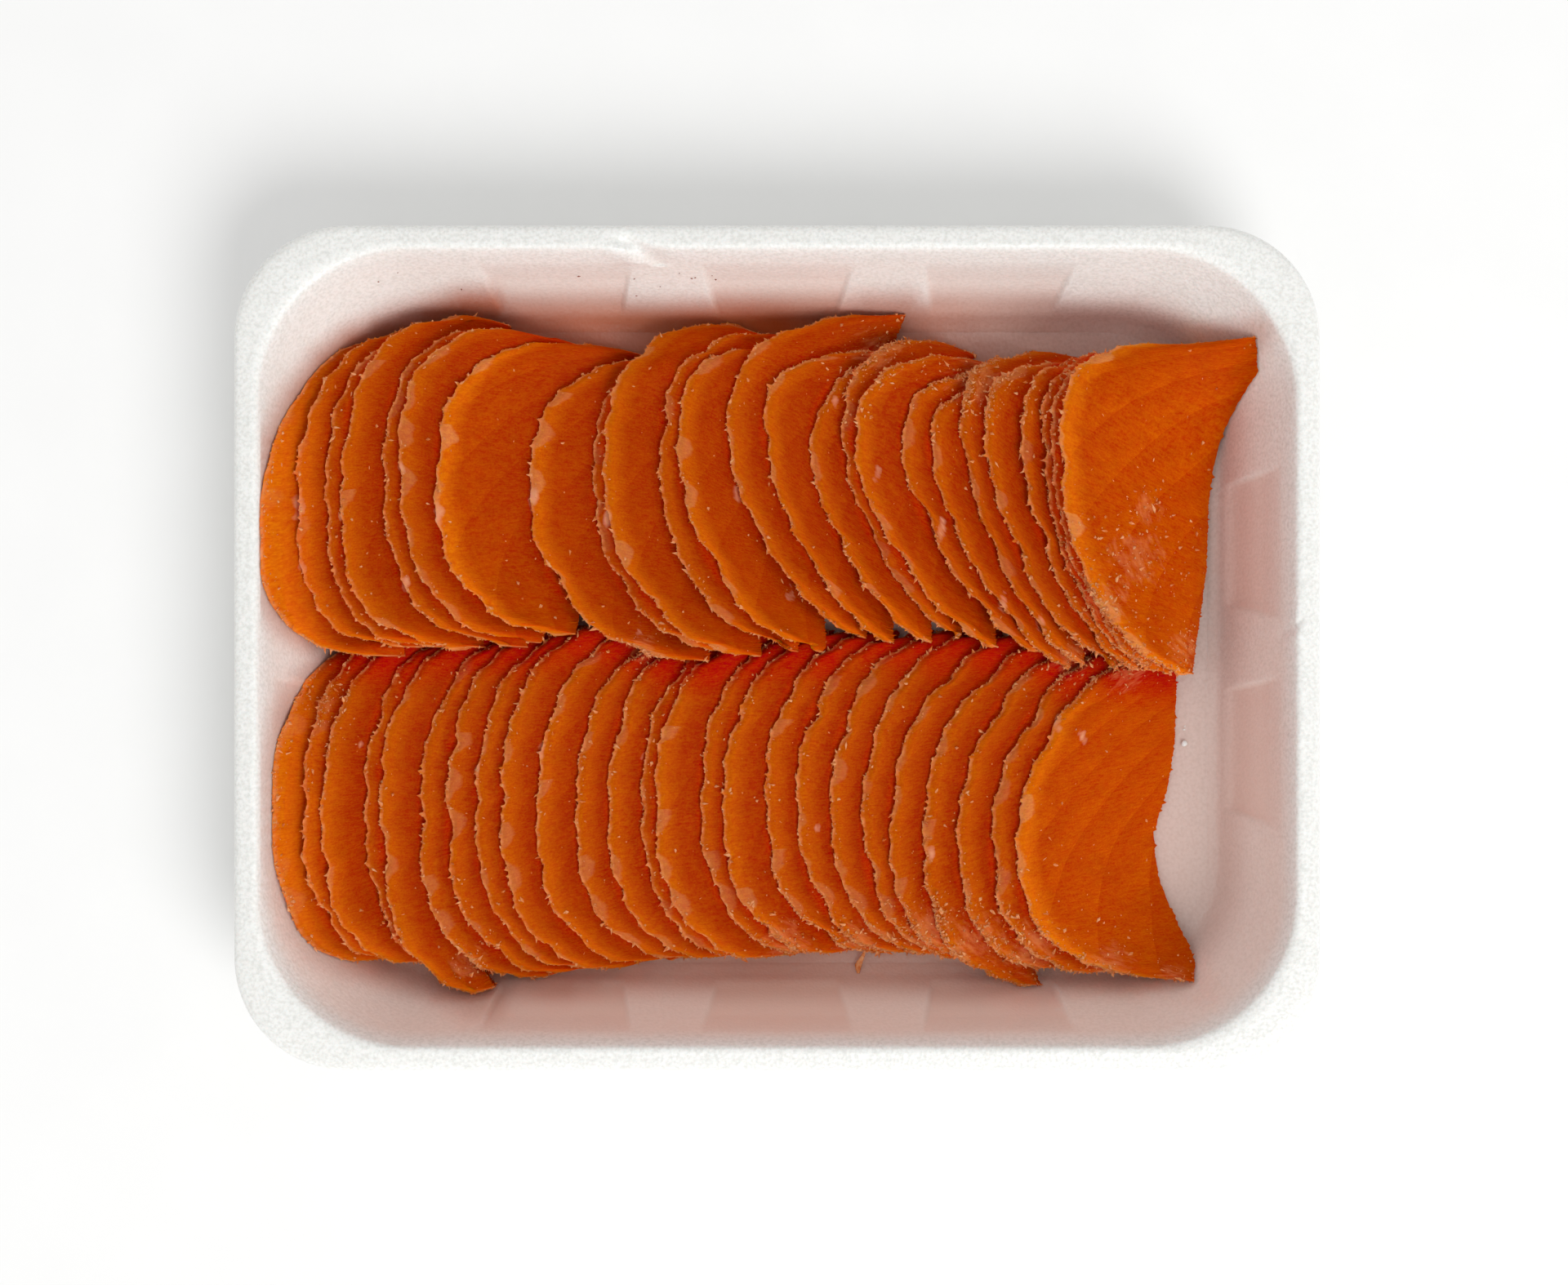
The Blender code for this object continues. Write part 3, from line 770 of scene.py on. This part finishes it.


# Raw salmon: fine wet fibres in soft bands, orange, with a painted glow where light gets through and a
# painted deep red shade where slices shut the light out, with a pale frost on the torn rims. It hardly
# shines, because frost has dulled it. The patterns' sizes are in millimetres, as the slices' distances are.
# Fibres and grain are drawn coarser than real ones, so that they show.
FIBRE = 0.45
GRAIN = 0.4
BAND = 9.0
MOTTLE = 3.5
FACET = 10.0
FROST_BREAK = 1.4
FROST_BLOTCH = 1.6
flesh, tree, shader = new_material(
    "raw_salmon_flesh", Roughness=0.65, IOR=1.38, Specular_IOR_Level=0.04,
    Subsurface_Weight=1.0, Subsurface_Radius=(1.0, 0.25, 0.08),
)
left, end, along, rise, cover, roof, frosting, glints, number = (
    add(tree, "ShaderNodeAttribute", attribute_name=name).outputs["Fac"] for name in (
        "left_mm", "end_mm", "along_mm", "rise_mm", "cover_mm", "roof_mm", "frosting", "glints",
        "slice_number",
    )
)
# Each slice reads the patterns in a place of its own. The fibres run aslant and are three times as long as
# they are wide.
pattern = add(tree, "ShaderNodeMath", {0: number, 1: 31.0}, operation="MULTIPLY")
spot = add(tree, "ShaderNodeCombineXYZ", {0: left, 1: along, 2: pattern})
fibres = add(tree, "ShaderNodeTexNoise", {
    "Vector": add(tree, "ShaderNodeMapping", {
        "Vector": spot, "Rotation": (0, 0, 0.35), "Scale": (0.3, 1, 1),
    }),
    "Scale": 1 / FIBRE, "Detail": 3.0, "Roughness": 0.6,
})
mottle = add(tree, "ShaderNodeTexNoise", {"Vector": spot, "Scale": 1 / MOTTLE, "Detail": 3.0})
# Light goes further through flesh the thicker it is, so that a thin rim doesn't lose it.
tree.links.new(
    add(tree, "ShaderNodeMapRange", {0: rise, 1: 1.2, 2: 3.4, 3: 0.3 * MM, 4: 1.5 * MM}).outputs[0],
    shader.inputs["Subsurface Scale"],
)
# Soft folds aslant over the slice: each grows lighter and then stops at a darker line.
folds = add(tree, "ShaderNodeTexWave", {
    "Vector": add(tree, "ShaderNodeMapping", {"Vector": spot, "Rotation": (0, 0, 0.6)}),
    "Scale": 2 * math.pi / 20 / BAND, "Distortion": 5.0, "Detail": 2.0, "Detail Scale": 0.05,
}, wave_profile="SAW")
grain = add(tree, "ShaderNodeTexNoise", {"Vector": spot, "Scale": 1 / GRAIN, "Detail": 2.0, "Roughness": 0.7})
# Over the flesh's orange, one after the other: the folds' lighter bands, darker mottles, and a painted glow
# of light in the rim's soft slope, which is thin.
lit = linear("#B63C00")
for share, code in (
    (add(tree, "ShaderNodeMapRange", {0: folds, 1: 0.0, 2: 1.0, 3: 0.25, 4: 0.75}), "#CC5A00"),
    (add(tree, "ShaderNodeMapRange", {0: mottle, 1: 0.4, 2: 0.75, 3: 0.0, 4: 0.6}), "#B03C00"),
    (add(tree, "ShaderNodeMapRange", {0: left, 1: 0.0, 2: 5.5, 3: 0.85, 4: 0.0}), "#EA8008"),
):
    lit = add(tree, "ShaderNodeMix", {0: share, 6: lit, 7: linear(code)}, data_type="RGBA")
# Crescents: each lobe of the rim may have a paler facet, from its rim to a straight and sharp inner border:
# partly frost, and partly a painted highlight where the bevel catches the light.
facets = add(tree, "ShaderNodeTexVoronoi", {
    "W": add(tree, "ShaderNodeMath", {
        0: add(tree, "ShaderNodeMath", {0: along, 1: FACET}, operation="DIVIDE"), 1: pattern,
    }, operation="ADD"),
    "Scale": 1.0,
}, voronoi_dimensions="1D")
bulge = add(tree, "ShaderNodeMapRange", {
    0: add(tree, "ShaderNodeMath", {0: facets.outputs["Distance"], 1: 2.0}, operation="POWER"),
    1: 0.0, 2: 0.22, 3: 1.0, 4: 0.0,
})
facet_width = add(tree, "ShaderNodeMapRange", {
    0: add(tree, "ShaderNodeSeparateColor", {"Color": facets.outputs["Color"]}).outputs["Red"],
    1: 0.3, 2: 1.0, 3: 0.0, 4: 5.0,
})
inside_crescent = add(tree, "ShaderNodeMath", {
    0: add(tree, "ShaderNodeMath", {0: bulge, 1: facet_width}, operation="MULTIPLY"),
    1: add(tree, "ShaderNodeMapRange", {0: mottle, 1: 0.3, 2: 0.7, 3: 1.6, 4: 0.0}),
}, operation="SUBTRACT")
inside_crescent = add(tree, "ShaderNodeMath", {0: inside_crescent, 1: left}, operation="SUBTRACT")
crescent = add(tree, "ShaderNodeMapRange", {0: inside_crescent, 1: 0.0, 2: 0.8, 3: 0.0, 4: 0.5})
paler = add(tree, "ShaderNodeMix", {0: crescent, 6: lit, 7: linear("#DE965C")}, data_type="RGBA")
# Painted shade, a deep red: near the slice laid over this one, where its rim shuts out the light, and nearer
# still to the row laid over it.
reach = add(tree, "ShaderNodeMapRange", {0: mottle, 1: 0.3, 2: 0.7, 3: 4.0, 4: 8.0})
painted_shade_next = add(tree, "ShaderNodeMath", {
    0: add(tree, "ShaderNodeMath", {
        0: add(tree, "ShaderNodeMapRange", {0: cover, 1: 0.0, 2: reach, 3: 1.0, 4: 0.0}),
        1: add(tree, "ShaderNodeMapRange", {0: cover, 1: 0.0, 2: 16.0, 3: 0.65, 4: 0.0}),
    }, operation="MAXIMUM"),
    1: add(tree, "ShaderNodeMapRange", {0: along, 1: 6.0, 2: 26.0, 3: 0.45, 4: 1.0}),
}, operation="MULTIPLY")
painted_shade_row = add(tree, "ShaderNodeMapRange", {
    0: roof, 1: 0.5, 2: 10.0, 3: 1.0, 4: 0.0,
}, interpolation_type="SMOOTHSTEP")
# Right beside the next slice so little light arrives that the painted shade's red must be clearer to look as
# deep: a painted brightening of the real shade there.
in_crevice = add(tree, "ShaderNodeMapRange", {0: cover, 1: 0.0, 2: 1.5, 3: 1.0, 4: 0.0})
painted_shade_red = add(tree, "ShaderNodeMix", {
    0: in_crevice, 6: linear("#A02800"), 7: linear("#C23200"),
}, data_type="RGBA")
deep = add(tree, "ShaderNodeMix", {0: painted_shade_next, 6: paler, 7: painted_shade_red.outputs[2]}, data_type="RGBA")
deep = add(tree, "ShaderNodeMix", {0: painted_shade_row, 6: deep, 7: linear("#BA1A00")}, data_type="RGBA")
# A painted glow: the leftmost slices lean on the bright foam, whose light glows in them.
across = add(tree, "ShaderNodeSeparateXYZ", {"Vector": add(tree, "ShaderNodeTexCoord").outputs["Object"]})
deep = add(tree, "ShaderNodeMix", {
    0: add(tree, "ShaderNodeMapRange", {0: across.outputs["X"], 1: -114 * MM, 2: -98 * MM, 3: 0.85, 4: 0.0}),
    6: deep, 7: linear("#F07A0A"),
}, data_type="RGBA")
# The fibres and the grain turn the red towards yellow and back more than they darken it.
texture = add(tree, "ShaderNodeMath", {0: fibres, 1: grain}, operation="ADD")
deep = add(tree, "ShaderNodeHueSaturation", {
    "Color": deep.outputs[2],
    "Hue": add(tree, "ShaderNodeMapRange", {0: texture, 1: 0.7, 2: 1.3, 3: 0.489, 4: 0.511}),
    "Value": add(tree, "ShaderNodeMapRange", {0: texture, 1: 0.7, 2: 1.3, 3: 0.92, 4: 1.1}),
})
# Frost: thin and broken on the rim, in blotches behind it, and thick where crumbs have gathered.
rim = add(tree, "ShaderNodeMath", {
    0: left, 1: add(tree, "ShaderNodeMath", {0: end, 1: 0.5}, operation="MULTIPLY"),
}, operation="MINIMUM")
breaks = add(tree, "ShaderNodeTexNoise", {
    "Vector": add(tree, "ShaderNodeMapping", {"Vector": spot, "Scale": (0.4, 1, 1)}),
    "Scale": 1 / FROST_BREAK, "Detail": 3.0,
})
blotches = add(tree, "ShaderNodeTexNoise", {
    "Vector": add(tree, "ShaderNodeMapping", {"Vector": spot, "Scale": (1, 0.5, 1)}),
    "Scale": 1 / FROST_BLOTCH, "Detail": 4.0, "Roughness": 0.6,
})
thin_frost = add(tree, "ShaderNodeMath", {
    0: add(tree, "ShaderNodeMapRange", {0: breaks, 1: 0.4, 2: 0.62, 3: 0.12, 4: 1.0}),
    1: add(tree, "ShaderNodeMapRange", {0: rim, 1: 0.15, 2: 0.85, 3: 0.95, 4: 0.0}),
}, operation="MULTIPLY")
blotch_share = add(tree, "ShaderNodeMath", {
    0: add(tree, "ShaderNodeMapRange", {0: rim, 1: 0.4, 2: 3.2, 3: 0.34, 4: 0.0}),
    1: frosting,
}, operation="MAXIMUM")
thick_frost = add(tree, "ShaderNodeMapRange", {
    0: add(tree, "ShaderNodeMath", {0: blotches, 1: blotch_share}, operation="ADD"),
    1: 0.86, 2: 1.12, 3: 0.0, 4: 0.4,
})
frost = add(tree, "ShaderNodeMath", {0: thin_frost, 1: thick_frost}, operation="MAXIMUM")
# None on the lower part of the cut face, which the light in the flesh keeps orange.
frost = add(tree, "ShaderNodeMath", {
    0: frost, 1: add(tree, "ShaderNodeMapRange", {0: rise, 1: 0.8, 2: 1.1, 3: 0.0, 4: 1.0}),
}, operation="MULTIPLY")
frosted = add(tree, "ShaderNodeMix", {0: frost, 6: deep, 7: linear("#E8955C")}, data_type="RGBA")
# Painted glints of light on the ice: a few pale spots, longer than they are wide.
glint = add(tree, "ShaderNodeMapRange", {
    0: add(tree, "ShaderNodeMath", {0: mottle, 1: glints}, operation="ADD"), 1: 0.9, 2: 1.2, 3: 0.0, 4: 0.75,
})
glinting = add(tree, "ShaderNodeMix", {0: glint, 6: frosted.outputs[2], 7: linear("#EAAC88")}, data_type="RGBA")
tree.links.new(glinting.outputs[2], shader.inputs["Base Color"])
relief = add(tree, "ShaderNodeMath", {
    0: add(tree, "ShaderNodeMath", {0: fibres, 1: 0.5}, operation="MULTIPLY"), 1: mottle,
}, operation="ADD")
relief = add(tree, "ShaderNodeMath", {
    0: relief, 1: add(tree, "ShaderNodeMath", {0: crescent, 1: 1.4}, operation="MULTIPLY"),
}, operation="ADD")
bump = add(tree, "ShaderNodeBump", {"Strength": 0.5, "Distance": 0.2 * MM, "Height": relief})
tree.links.new(bump.outputs[0], shader.inputs["Normal"])

grids = {name: slice_grid(name) for name in SLICES}
outlines = {}
for name, (grid, _) in grids.items():
    rounded, straight, _ = slice_outline(grid, OUTLINE_POINTS)
    outlines[name] = np.vstack((rounded, grid[-1, 1:-1], straight[::-1], grid[0, -2:0:-1]))


def inside(points, outline):
    """Which points lie inside a closed outline, seen from above."""
    x, y = points[:, 0], points[:, 1]
    odd = np.zeros(len(points), bool)
    for (ax, ay, _), (bx, by, _) in zip(outline, np.roll(outline, -1, axis=0)):
        if ay != by:
            odd ^= ((ay > y) != (by > y)) & (x < (bx - ax) * (y - ay) / (by - ay) + ax)
    return odd


def distance_under(points, covering):
    """How far each point lies from the slices laid over it, in millimetres: 0 under them."""
    if not covering:
        return np.full(len(points), UNCOVERED)
    reach = plan_distance(points, np.vstack([outlines[name] for name in covering])) / MM
    for name in covering:
        low, high = outlines[name].min(axis=0), outlines[name].max(axis=0)
        near = np.flatnonzero(((points[:, :2] > low[:2]) & (points[:, :2] < high[:2])).all(axis=1))
        reach[near[inside(points[near], outlines[name])]] = 0
    return reach


def gathered(points, patches, stretch):
    """How near each point lies to the middle of a patch: 1 in it, and less with the patch's reach."""
    share = np.zeros(len(points))
    for x, y, reach in patches:
        off = points[:, :2] / MM - (x, y)
        share = np.maximum(share, np.exp(-(off ** 2 * stretch).sum(axis=1) / reach ** 2))
    return share


scattered = []
in_row = len(SLICES) // 2
for order, name in enumerate(SLICES):
    first = float(name.endswith("01"))
    droop = DROOP[name[:5]]
    points, faces, distances, away = slice_sheet(
        *grids[name], (0, 0, droop[2]) if name in STIFF else droop, BULGES.get(name, ((0,), (0,))), first,
    )
    sheet = mesh_piece(name.replace("slice", "salmon_slice"), points, faces, flesh)
    # The rim's upper border stays sharp, so that the light on the slope isn't blended with the cut face.
    border = ((distances["edge_mm"] == 0) & (distances["rise_mm"] > 0)).reshape(-1)
    ends = np.empty(2 * len(sheet.data.edges), np.int32)
    sheet.data.edges.foreach_get("vertices", ends)
    sheet.data.edges.foreach_set("use_edge_sharp", border[ends.reshape(-1, 2)].all(axis=1))
    for key, values in distances.items():
        store(sheet, key, values / MM)
    sheet.data.attributes.new("outward", "FLOAT_VECTOR", "POINT").data.foreach_set(
        "vector", away.astype(np.float32).reshape(-1),
    )
    row, other_row = (SLICES[:in_row], SLICES[in_row:]) if order < in_row else (SLICES[in_row:], [])
    following = order % in_row + 1
    cover = distance_under(points, row[following:following + NEXT_SLICES])
    roof = distance_under(points, other_row)
    frosting = gathered(points, FROSTED, (1, 1))
    store(sheet, "cover_mm", cover)
    store(sheet, "roof_mm", roof)
    store(sheet, "frosting", FROST_SHARE * frosting)
    store(sheet, "glints", GLINT_SHARE * gathered(points, GLINTS, GLINT_STRETCH))
    store(sheet, "slice_number", np.full(len(points), order))
    rim = np.minimum(distances["left_mm"], distances["end_mm"]).reshape(-1) / MM
    on_rim, on_frosted_rim = (
        most * np.exp(-rim / fades) for most, fades in (CRUMBS_ON_RIM, CRUMBS_ON_FROSTED_RIM)
    )
    crumbs = (np.minimum(cover, roof) > CRUMBS_CLEAR) * (
        CRUMBS_ALL_OVER + on_rim + frosting * (CRUMBS_IN_FROST + on_frosted_rim)
    )
    # The wall holds the first slices' rims nearly even. What is measured along the rim or the surface is in
    # millimetres, as the distances stored with the mesh are, and what moves its points is in metres.
    torn = HELD if first else 1.0
    sheet.data = evaluated(sheet, ragged, {
        "Lobe Depth": torn * 1.0 * MM, "Lobe Length": 15.0, "Nick Depth": torn * 0.5 * MM, "Nick Length": 5.5,
        "Tooth Depth": torn * 0.26 * MM, "Tooth Length": 0.7, "Tag Length": torn * 0.8 * MM,
        "Wave Height": 0.14 * MM, "Wave Length": 9.0, "Slice Number": float(order), "Flesh": flesh,
    })
    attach(sheet, "root")
    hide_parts(name)
    scattered.append((sheet, crumbs))


# The crumbs: bits of half-frozen flesh that the knife tore off, lying on the slices and most of all along
# their rims.

# How many lie to the square millimetre where their share is 1, and their half sizes. Each is a dented lump of
# eight faces, which is as fine as shows.
CRUMBS_PER_MM2 = 0.9
CRUMB_SIZES = (0.17 * MM, 0.55 * MM)
CRUMB_SEED = 11
# Frosted flesh: the same flesh under ice, pale and dull, in patches about as large as a crumb.
PALE_PATCHES_PER_MM = 0.9
frosted_flesh, tree, shader = new_material(
    "frosted_salmon_crumb", Roughness=0.6, IOR=1.35, Specular_IOR_Level=0.3,
    Subsurface_Weight=0.2, Subsurface_Radius=(1.0, 0.3, 0.1), Subsurface_Scale=0.8 * MM,
)
paleness = add(tree, "ShaderNodeTexNoise", {
    "Vector": add(tree, "ShaderNodeTexCoord").outputs["Object"], "Scale": PALE_PATCHES_PER_MM / MM,
    "Detail": 1.0,
})
crumb_colour = add(tree, "ShaderNodeMix", {
    0: add(tree, "ShaderNodeMapRange", {0: paleness, 1: 0.3, 2: 0.7}),
    6: linear("#D06A24"), 7: linear("#E6A674"),
}, data_type="RGBA")
tree.links.new(crumb_colour.outputs[2], shader.inputs["Base Color"])

crumbling, given = new_tree("salmon_crumbs", (
    ("Crumbs Per Square Metre", "Float"), ("Smallest", "Float"), ("Largest", "Float"), ("Seed", "Int"),
    ("Flesh", "Material"),
))
points = add(crumbling, "GeometryNodeDistributePointsOnFaces", {
    "Mesh": given["Geometry"], "Seed": given["Seed"],
    "Density": add(crumbling, "ShaderNodeMath", {
        0: add(crumbling, "GeometryNodeInputNamedAttribute", {"Name": "crumbs"}, data_type="FLOAT"),
        1: given["Crumbs Per Square Metre"],
    }, operation="MULTIPLY"),
})
bump = add(crumbling, "ShaderNodeTexNoise", {"Scale": 1.3, "Detail": 1.0})
lump = add(crumbling, "GeometryNodeSetPosition", {
    "Geometry": add(crumbling, "GeometryNodeMeshUVSphere", {"Segments": 4, "Rings": 2, "Radius": 1.18}),
    "Offset": add(crumbling, "ShaderNodeVectorMath", {
        0: add(crumbling, "GeometryNodeInputNormal"),
        "Scale": add(crumbling, "ShaderNodeMath", {0: bump, 1: 2.2, 2: -1.2}, operation="MULTIPLY_ADD"),
    }, operation="SCALE"),
})
size = add(crumbling, "ShaderNodeMapRange", {
    0: add(crumbling, "ShaderNodeMath", {
        0: add(crumbling, "FunctionNodeRandomValue", {"Seed": given["Seed"]}), 1: 2.5,
    }, operation="POWER"),
    3: given["Smallest"], 4: given["Largest"],
})
lumps = add(crumbling, "GeometryNodeInstanceOnPoints", {
    "Points": points, "Instance": lump,
    "Rotation": add(crumbling, "FunctionNodeRandomValue", {
        0: (0, 0, 0), 1: (6.28, 6.28, 6.28), "Seed": given["Seed"],
    }, data_type="FLOAT_VECTOR"),
    "Scale": add(crumbling, "ShaderNodeVectorMath", {
        0: add(crumbling, "FunctionNodeRandomValue", {
            0: (0.6, 0.5, 0.4), 1: (2.2, 1.0, 0.8), "Seed": given["Seed"],
        }, data_type="FLOAT_VECTOR"),
        "Scale": size,
    }, operation="SCALE"),
})
real = add(crumbling, "GeometryNodeRealizeInstances", {"Geometry": lumps})
add(crumbling, "NodeGroupOutput", {
    0: add(crumbling, "GeometryNodeSetMaterial", {"Geometry": real, "Material": given["Flesh"]}),
})

crumb_points, crumb_faces, crumb_shares = [], [], []
before = 0
for sheet, crumbs in scattered:
    spots = np.empty(3 * len(sheet.data.vertices), np.float32)
    sheet.data.vertices.foreach_get("co", spots)
    quads = np.array([p.vertices[:] for p in sheet.data.polygons if len(p.vertices) == 4])
    quads = quads[crumbs[quads].min(axis=1) > 0]
    used, where = np.unique(quads, return_inverse=True)
    crumb_points.append(spots.reshape(-1, 3)[used])
    crumb_faces += (where.reshape(-1, 4) + before).tolist()
    crumb_shares.append(crumbs[used])
    before += len(used)
crumbs = mesh_piece("salmon_crumbs", np.vstack(crumb_points), crumb_faces, frosted_flesh)
store(crumbs, "crumbs", np.concatenate(crumb_shares))
crumbs.data = evaluated(crumbs, crumbling, {
    "Crumbs Per Square Metre": CRUMBS_PER_MM2 / MM ** 2, "Smallest": CRUMB_SIZES[0],
    "Largest": CRUMB_SIZES[1], "Seed": CRUMB_SEED, "Flesh": frosted_flesh,
})
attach(crumbs, "root")


# Bits left in the tray: a loose bead of foam with two flecks beside the lower row, brown specks on the back
# wall, and a shred of flesh that hangs from the lower row on to the front wall.

# The picture's width, its middle and its focal length in pixels, where each bit is seen in it, and half the
# bit's sizes in millimetres.
PICTURE_WIDTH = 1920
PICTURE_MIDDLE = (960, 787)
FOCAL = LENS / SENSOR * PICTURE_WIDTH
BEAD_SEEN = (1449.7, 910.4)
BEAD_SIZES = (0.7, 0.7, 0.55)
FLECKS_SEEN = ((1450.0, 893.5), (1450.7, 889.5))
FLECK_SIZES = (0.36, 0.18, 0.14)
SPECKS_SEEN = (
    (708.8, 338.2), (777.0, 341.3), (808.3, 350.6), (846.4, 340.7), (851.6, 339.8), (832.0, 334.4),
    (876.0, 342.0), (779.3, 362.2), (872.1, 337.4), (565.0, 354.0), (463.0, 345.0), (487.0, 334.0),
)
SPECK_SIZES = (0.34, 0.18, 0.12)
SHRED_SEEN = ((1059.0, 1162.0), (1055.0, 1173.0), (1051.0, 1182.0), (1051.0, 1192.0))
# How far the shred's middle lies above the foam, and half its width, from its root to its end, in
# millimetres. Then its thickness as a share of its width, and its mesh's steps along and around it.
SHRED_HEIGHTS = (3.0, 1.2, 0.5, 0.2)
SHRED_WIDTHS = (0.25, 0.5, 0.8, 0.3)
SHRED_THICKNESS = 0.5
SHRED_STEPS = 18
SHRED_SIDES = 10


def seen_on_foam(across, down):
    """The point of the foam that the camera sees at a place in the picture, in millimetres."""
    towards = ((across - PICTURE_MIDDLE[0]) / FOCAL, (PICTURE_MIDDLE[1] - down) / FOCAL, -1)
    return np.array(foam_surface.ray_cast(CAMERA_AT, towards)[0]) / MM


def lumps_at(spots, sizes, unevenness):
    """Small dented lumps about their spots, each turned its own way. The first of every three has the given
    half sizes, and the others are smaller. A single lump is made finer."""
    ball = bmesh.new()
    bmesh.ops.create_icosphere(ball, subdivisions=3 if len(spots) == 1 else 2, radius=1.0)
    ball.verts.ensure_lookup_table()
    shape = np.array([v.co for v in ball.verts])
    faces = np.array([[v.index for v in face.verts] for face in ball.faces])
    ball.free()
    made, joined = [], []
    for n, spot in enumerate(spots):
        dents = 1 + unevenness * np.sin(shape @ (3.0, 4.0, 2.0) + 2.4 * n)
        x, y, z = (shape * dents[:, None] * sizes * (1.0 - 0.4 * (n % 3) / 2)).T
        made.append(np.stack((*rotated(x, y, 0.9 * n), z), axis=-1) + spot)
        joined += (faces + n * len(shape)).tolist()
    return np.vstack(made), joined


# Dried juice: brown and dull, in finely uneven shades.
BROWN_PATCHES_PER_MM = 2.5
dried, tree, shader = new_material("dried_juice", Roughness=0.6, IOR=1.4)
shade = add(tree, "ShaderNodeTexNoise", {
    "Vector": add(tree, "ShaderNodeTexCoord").outputs["Object"], "Scale": BROWN_PATCHES_PER_MM / MM,
    "Detail": 1.0,
})
browns = add(tree, "ShaderNodeMix", {0: shade, 6: linear("#6E3426"), 7: linear("#A56652")}, data_type="RGBA")
tree.links.new(browns.outputs[2], shader.inputs["Base Color"])

bead_spot = seen_on_foam(*BEAD_SEEN) + (0, 0, 0.8 * BEAD_SIZES[2])
fleck_spots = [seen_on_foam(*seen) for seen in FLECKS_SEEN]
speck_spots = [seen_on_foam(*seen) for seen in SPECKS_SEEN]
for name, spots, sizes, unevenness, material, slot in (
    ("loose_foam_bead", [bead_spot], BEAD_SIZES, 0.05, foam, "expanded_polystyrene"),
    ("loose_foam_flecks", fleck_spots, FLECK_SIZES, 0.2, foam, "expanded_polystyrene"),
    ("brown_specks", speck_spots, SPECK_SIZES, 0.3, dried, "salmon_flesh"),
):
    points, faces = lumps_at(spots, sizes, unevenness)
    bits = mesh_piece(name, points * MM, faces, material)
    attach(bits, "root")

line = spline(np.array([
    seen_on_foam(*seen) + (0, 0, height) for seen, height in zip(SHRED_SEEN, SHRED_HEIGHTS)
]), np.linspace(0, len(SHRED_SEEN) - 1, SHRED_STEPS))
half = np.interp(np.linspace(0, 1, SHRED_STEPS), np.linspace(0, 1, len(SHRED_WIDTHS)), SHRED_WIDTHS)
# Its sides are a little uneven.
half *= 1 + 0.12 * np.sin(np.arange(SHRED_STEPS) * 2.3)
round_it = np.linspace(0, 2 * math.pi, SHRED_SIDES, endpoint=False)
points = (
    line[:, None] + turned(line)[:, None] * (half[:, None] * np.cos(round_it))[..., None]
    + np.array((0, 0, 1)) * (SHRED_THICKNESS * half[:, None] * np.sin(round_it))[..., None]
)
shred = mesh_piece(
    "salmon_shred", points.reshape(-1, 3) * MM, ring_faces(SHRED_STEPS, SHRED_SIDES), frosted_flesh,
)
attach(shred, "root")
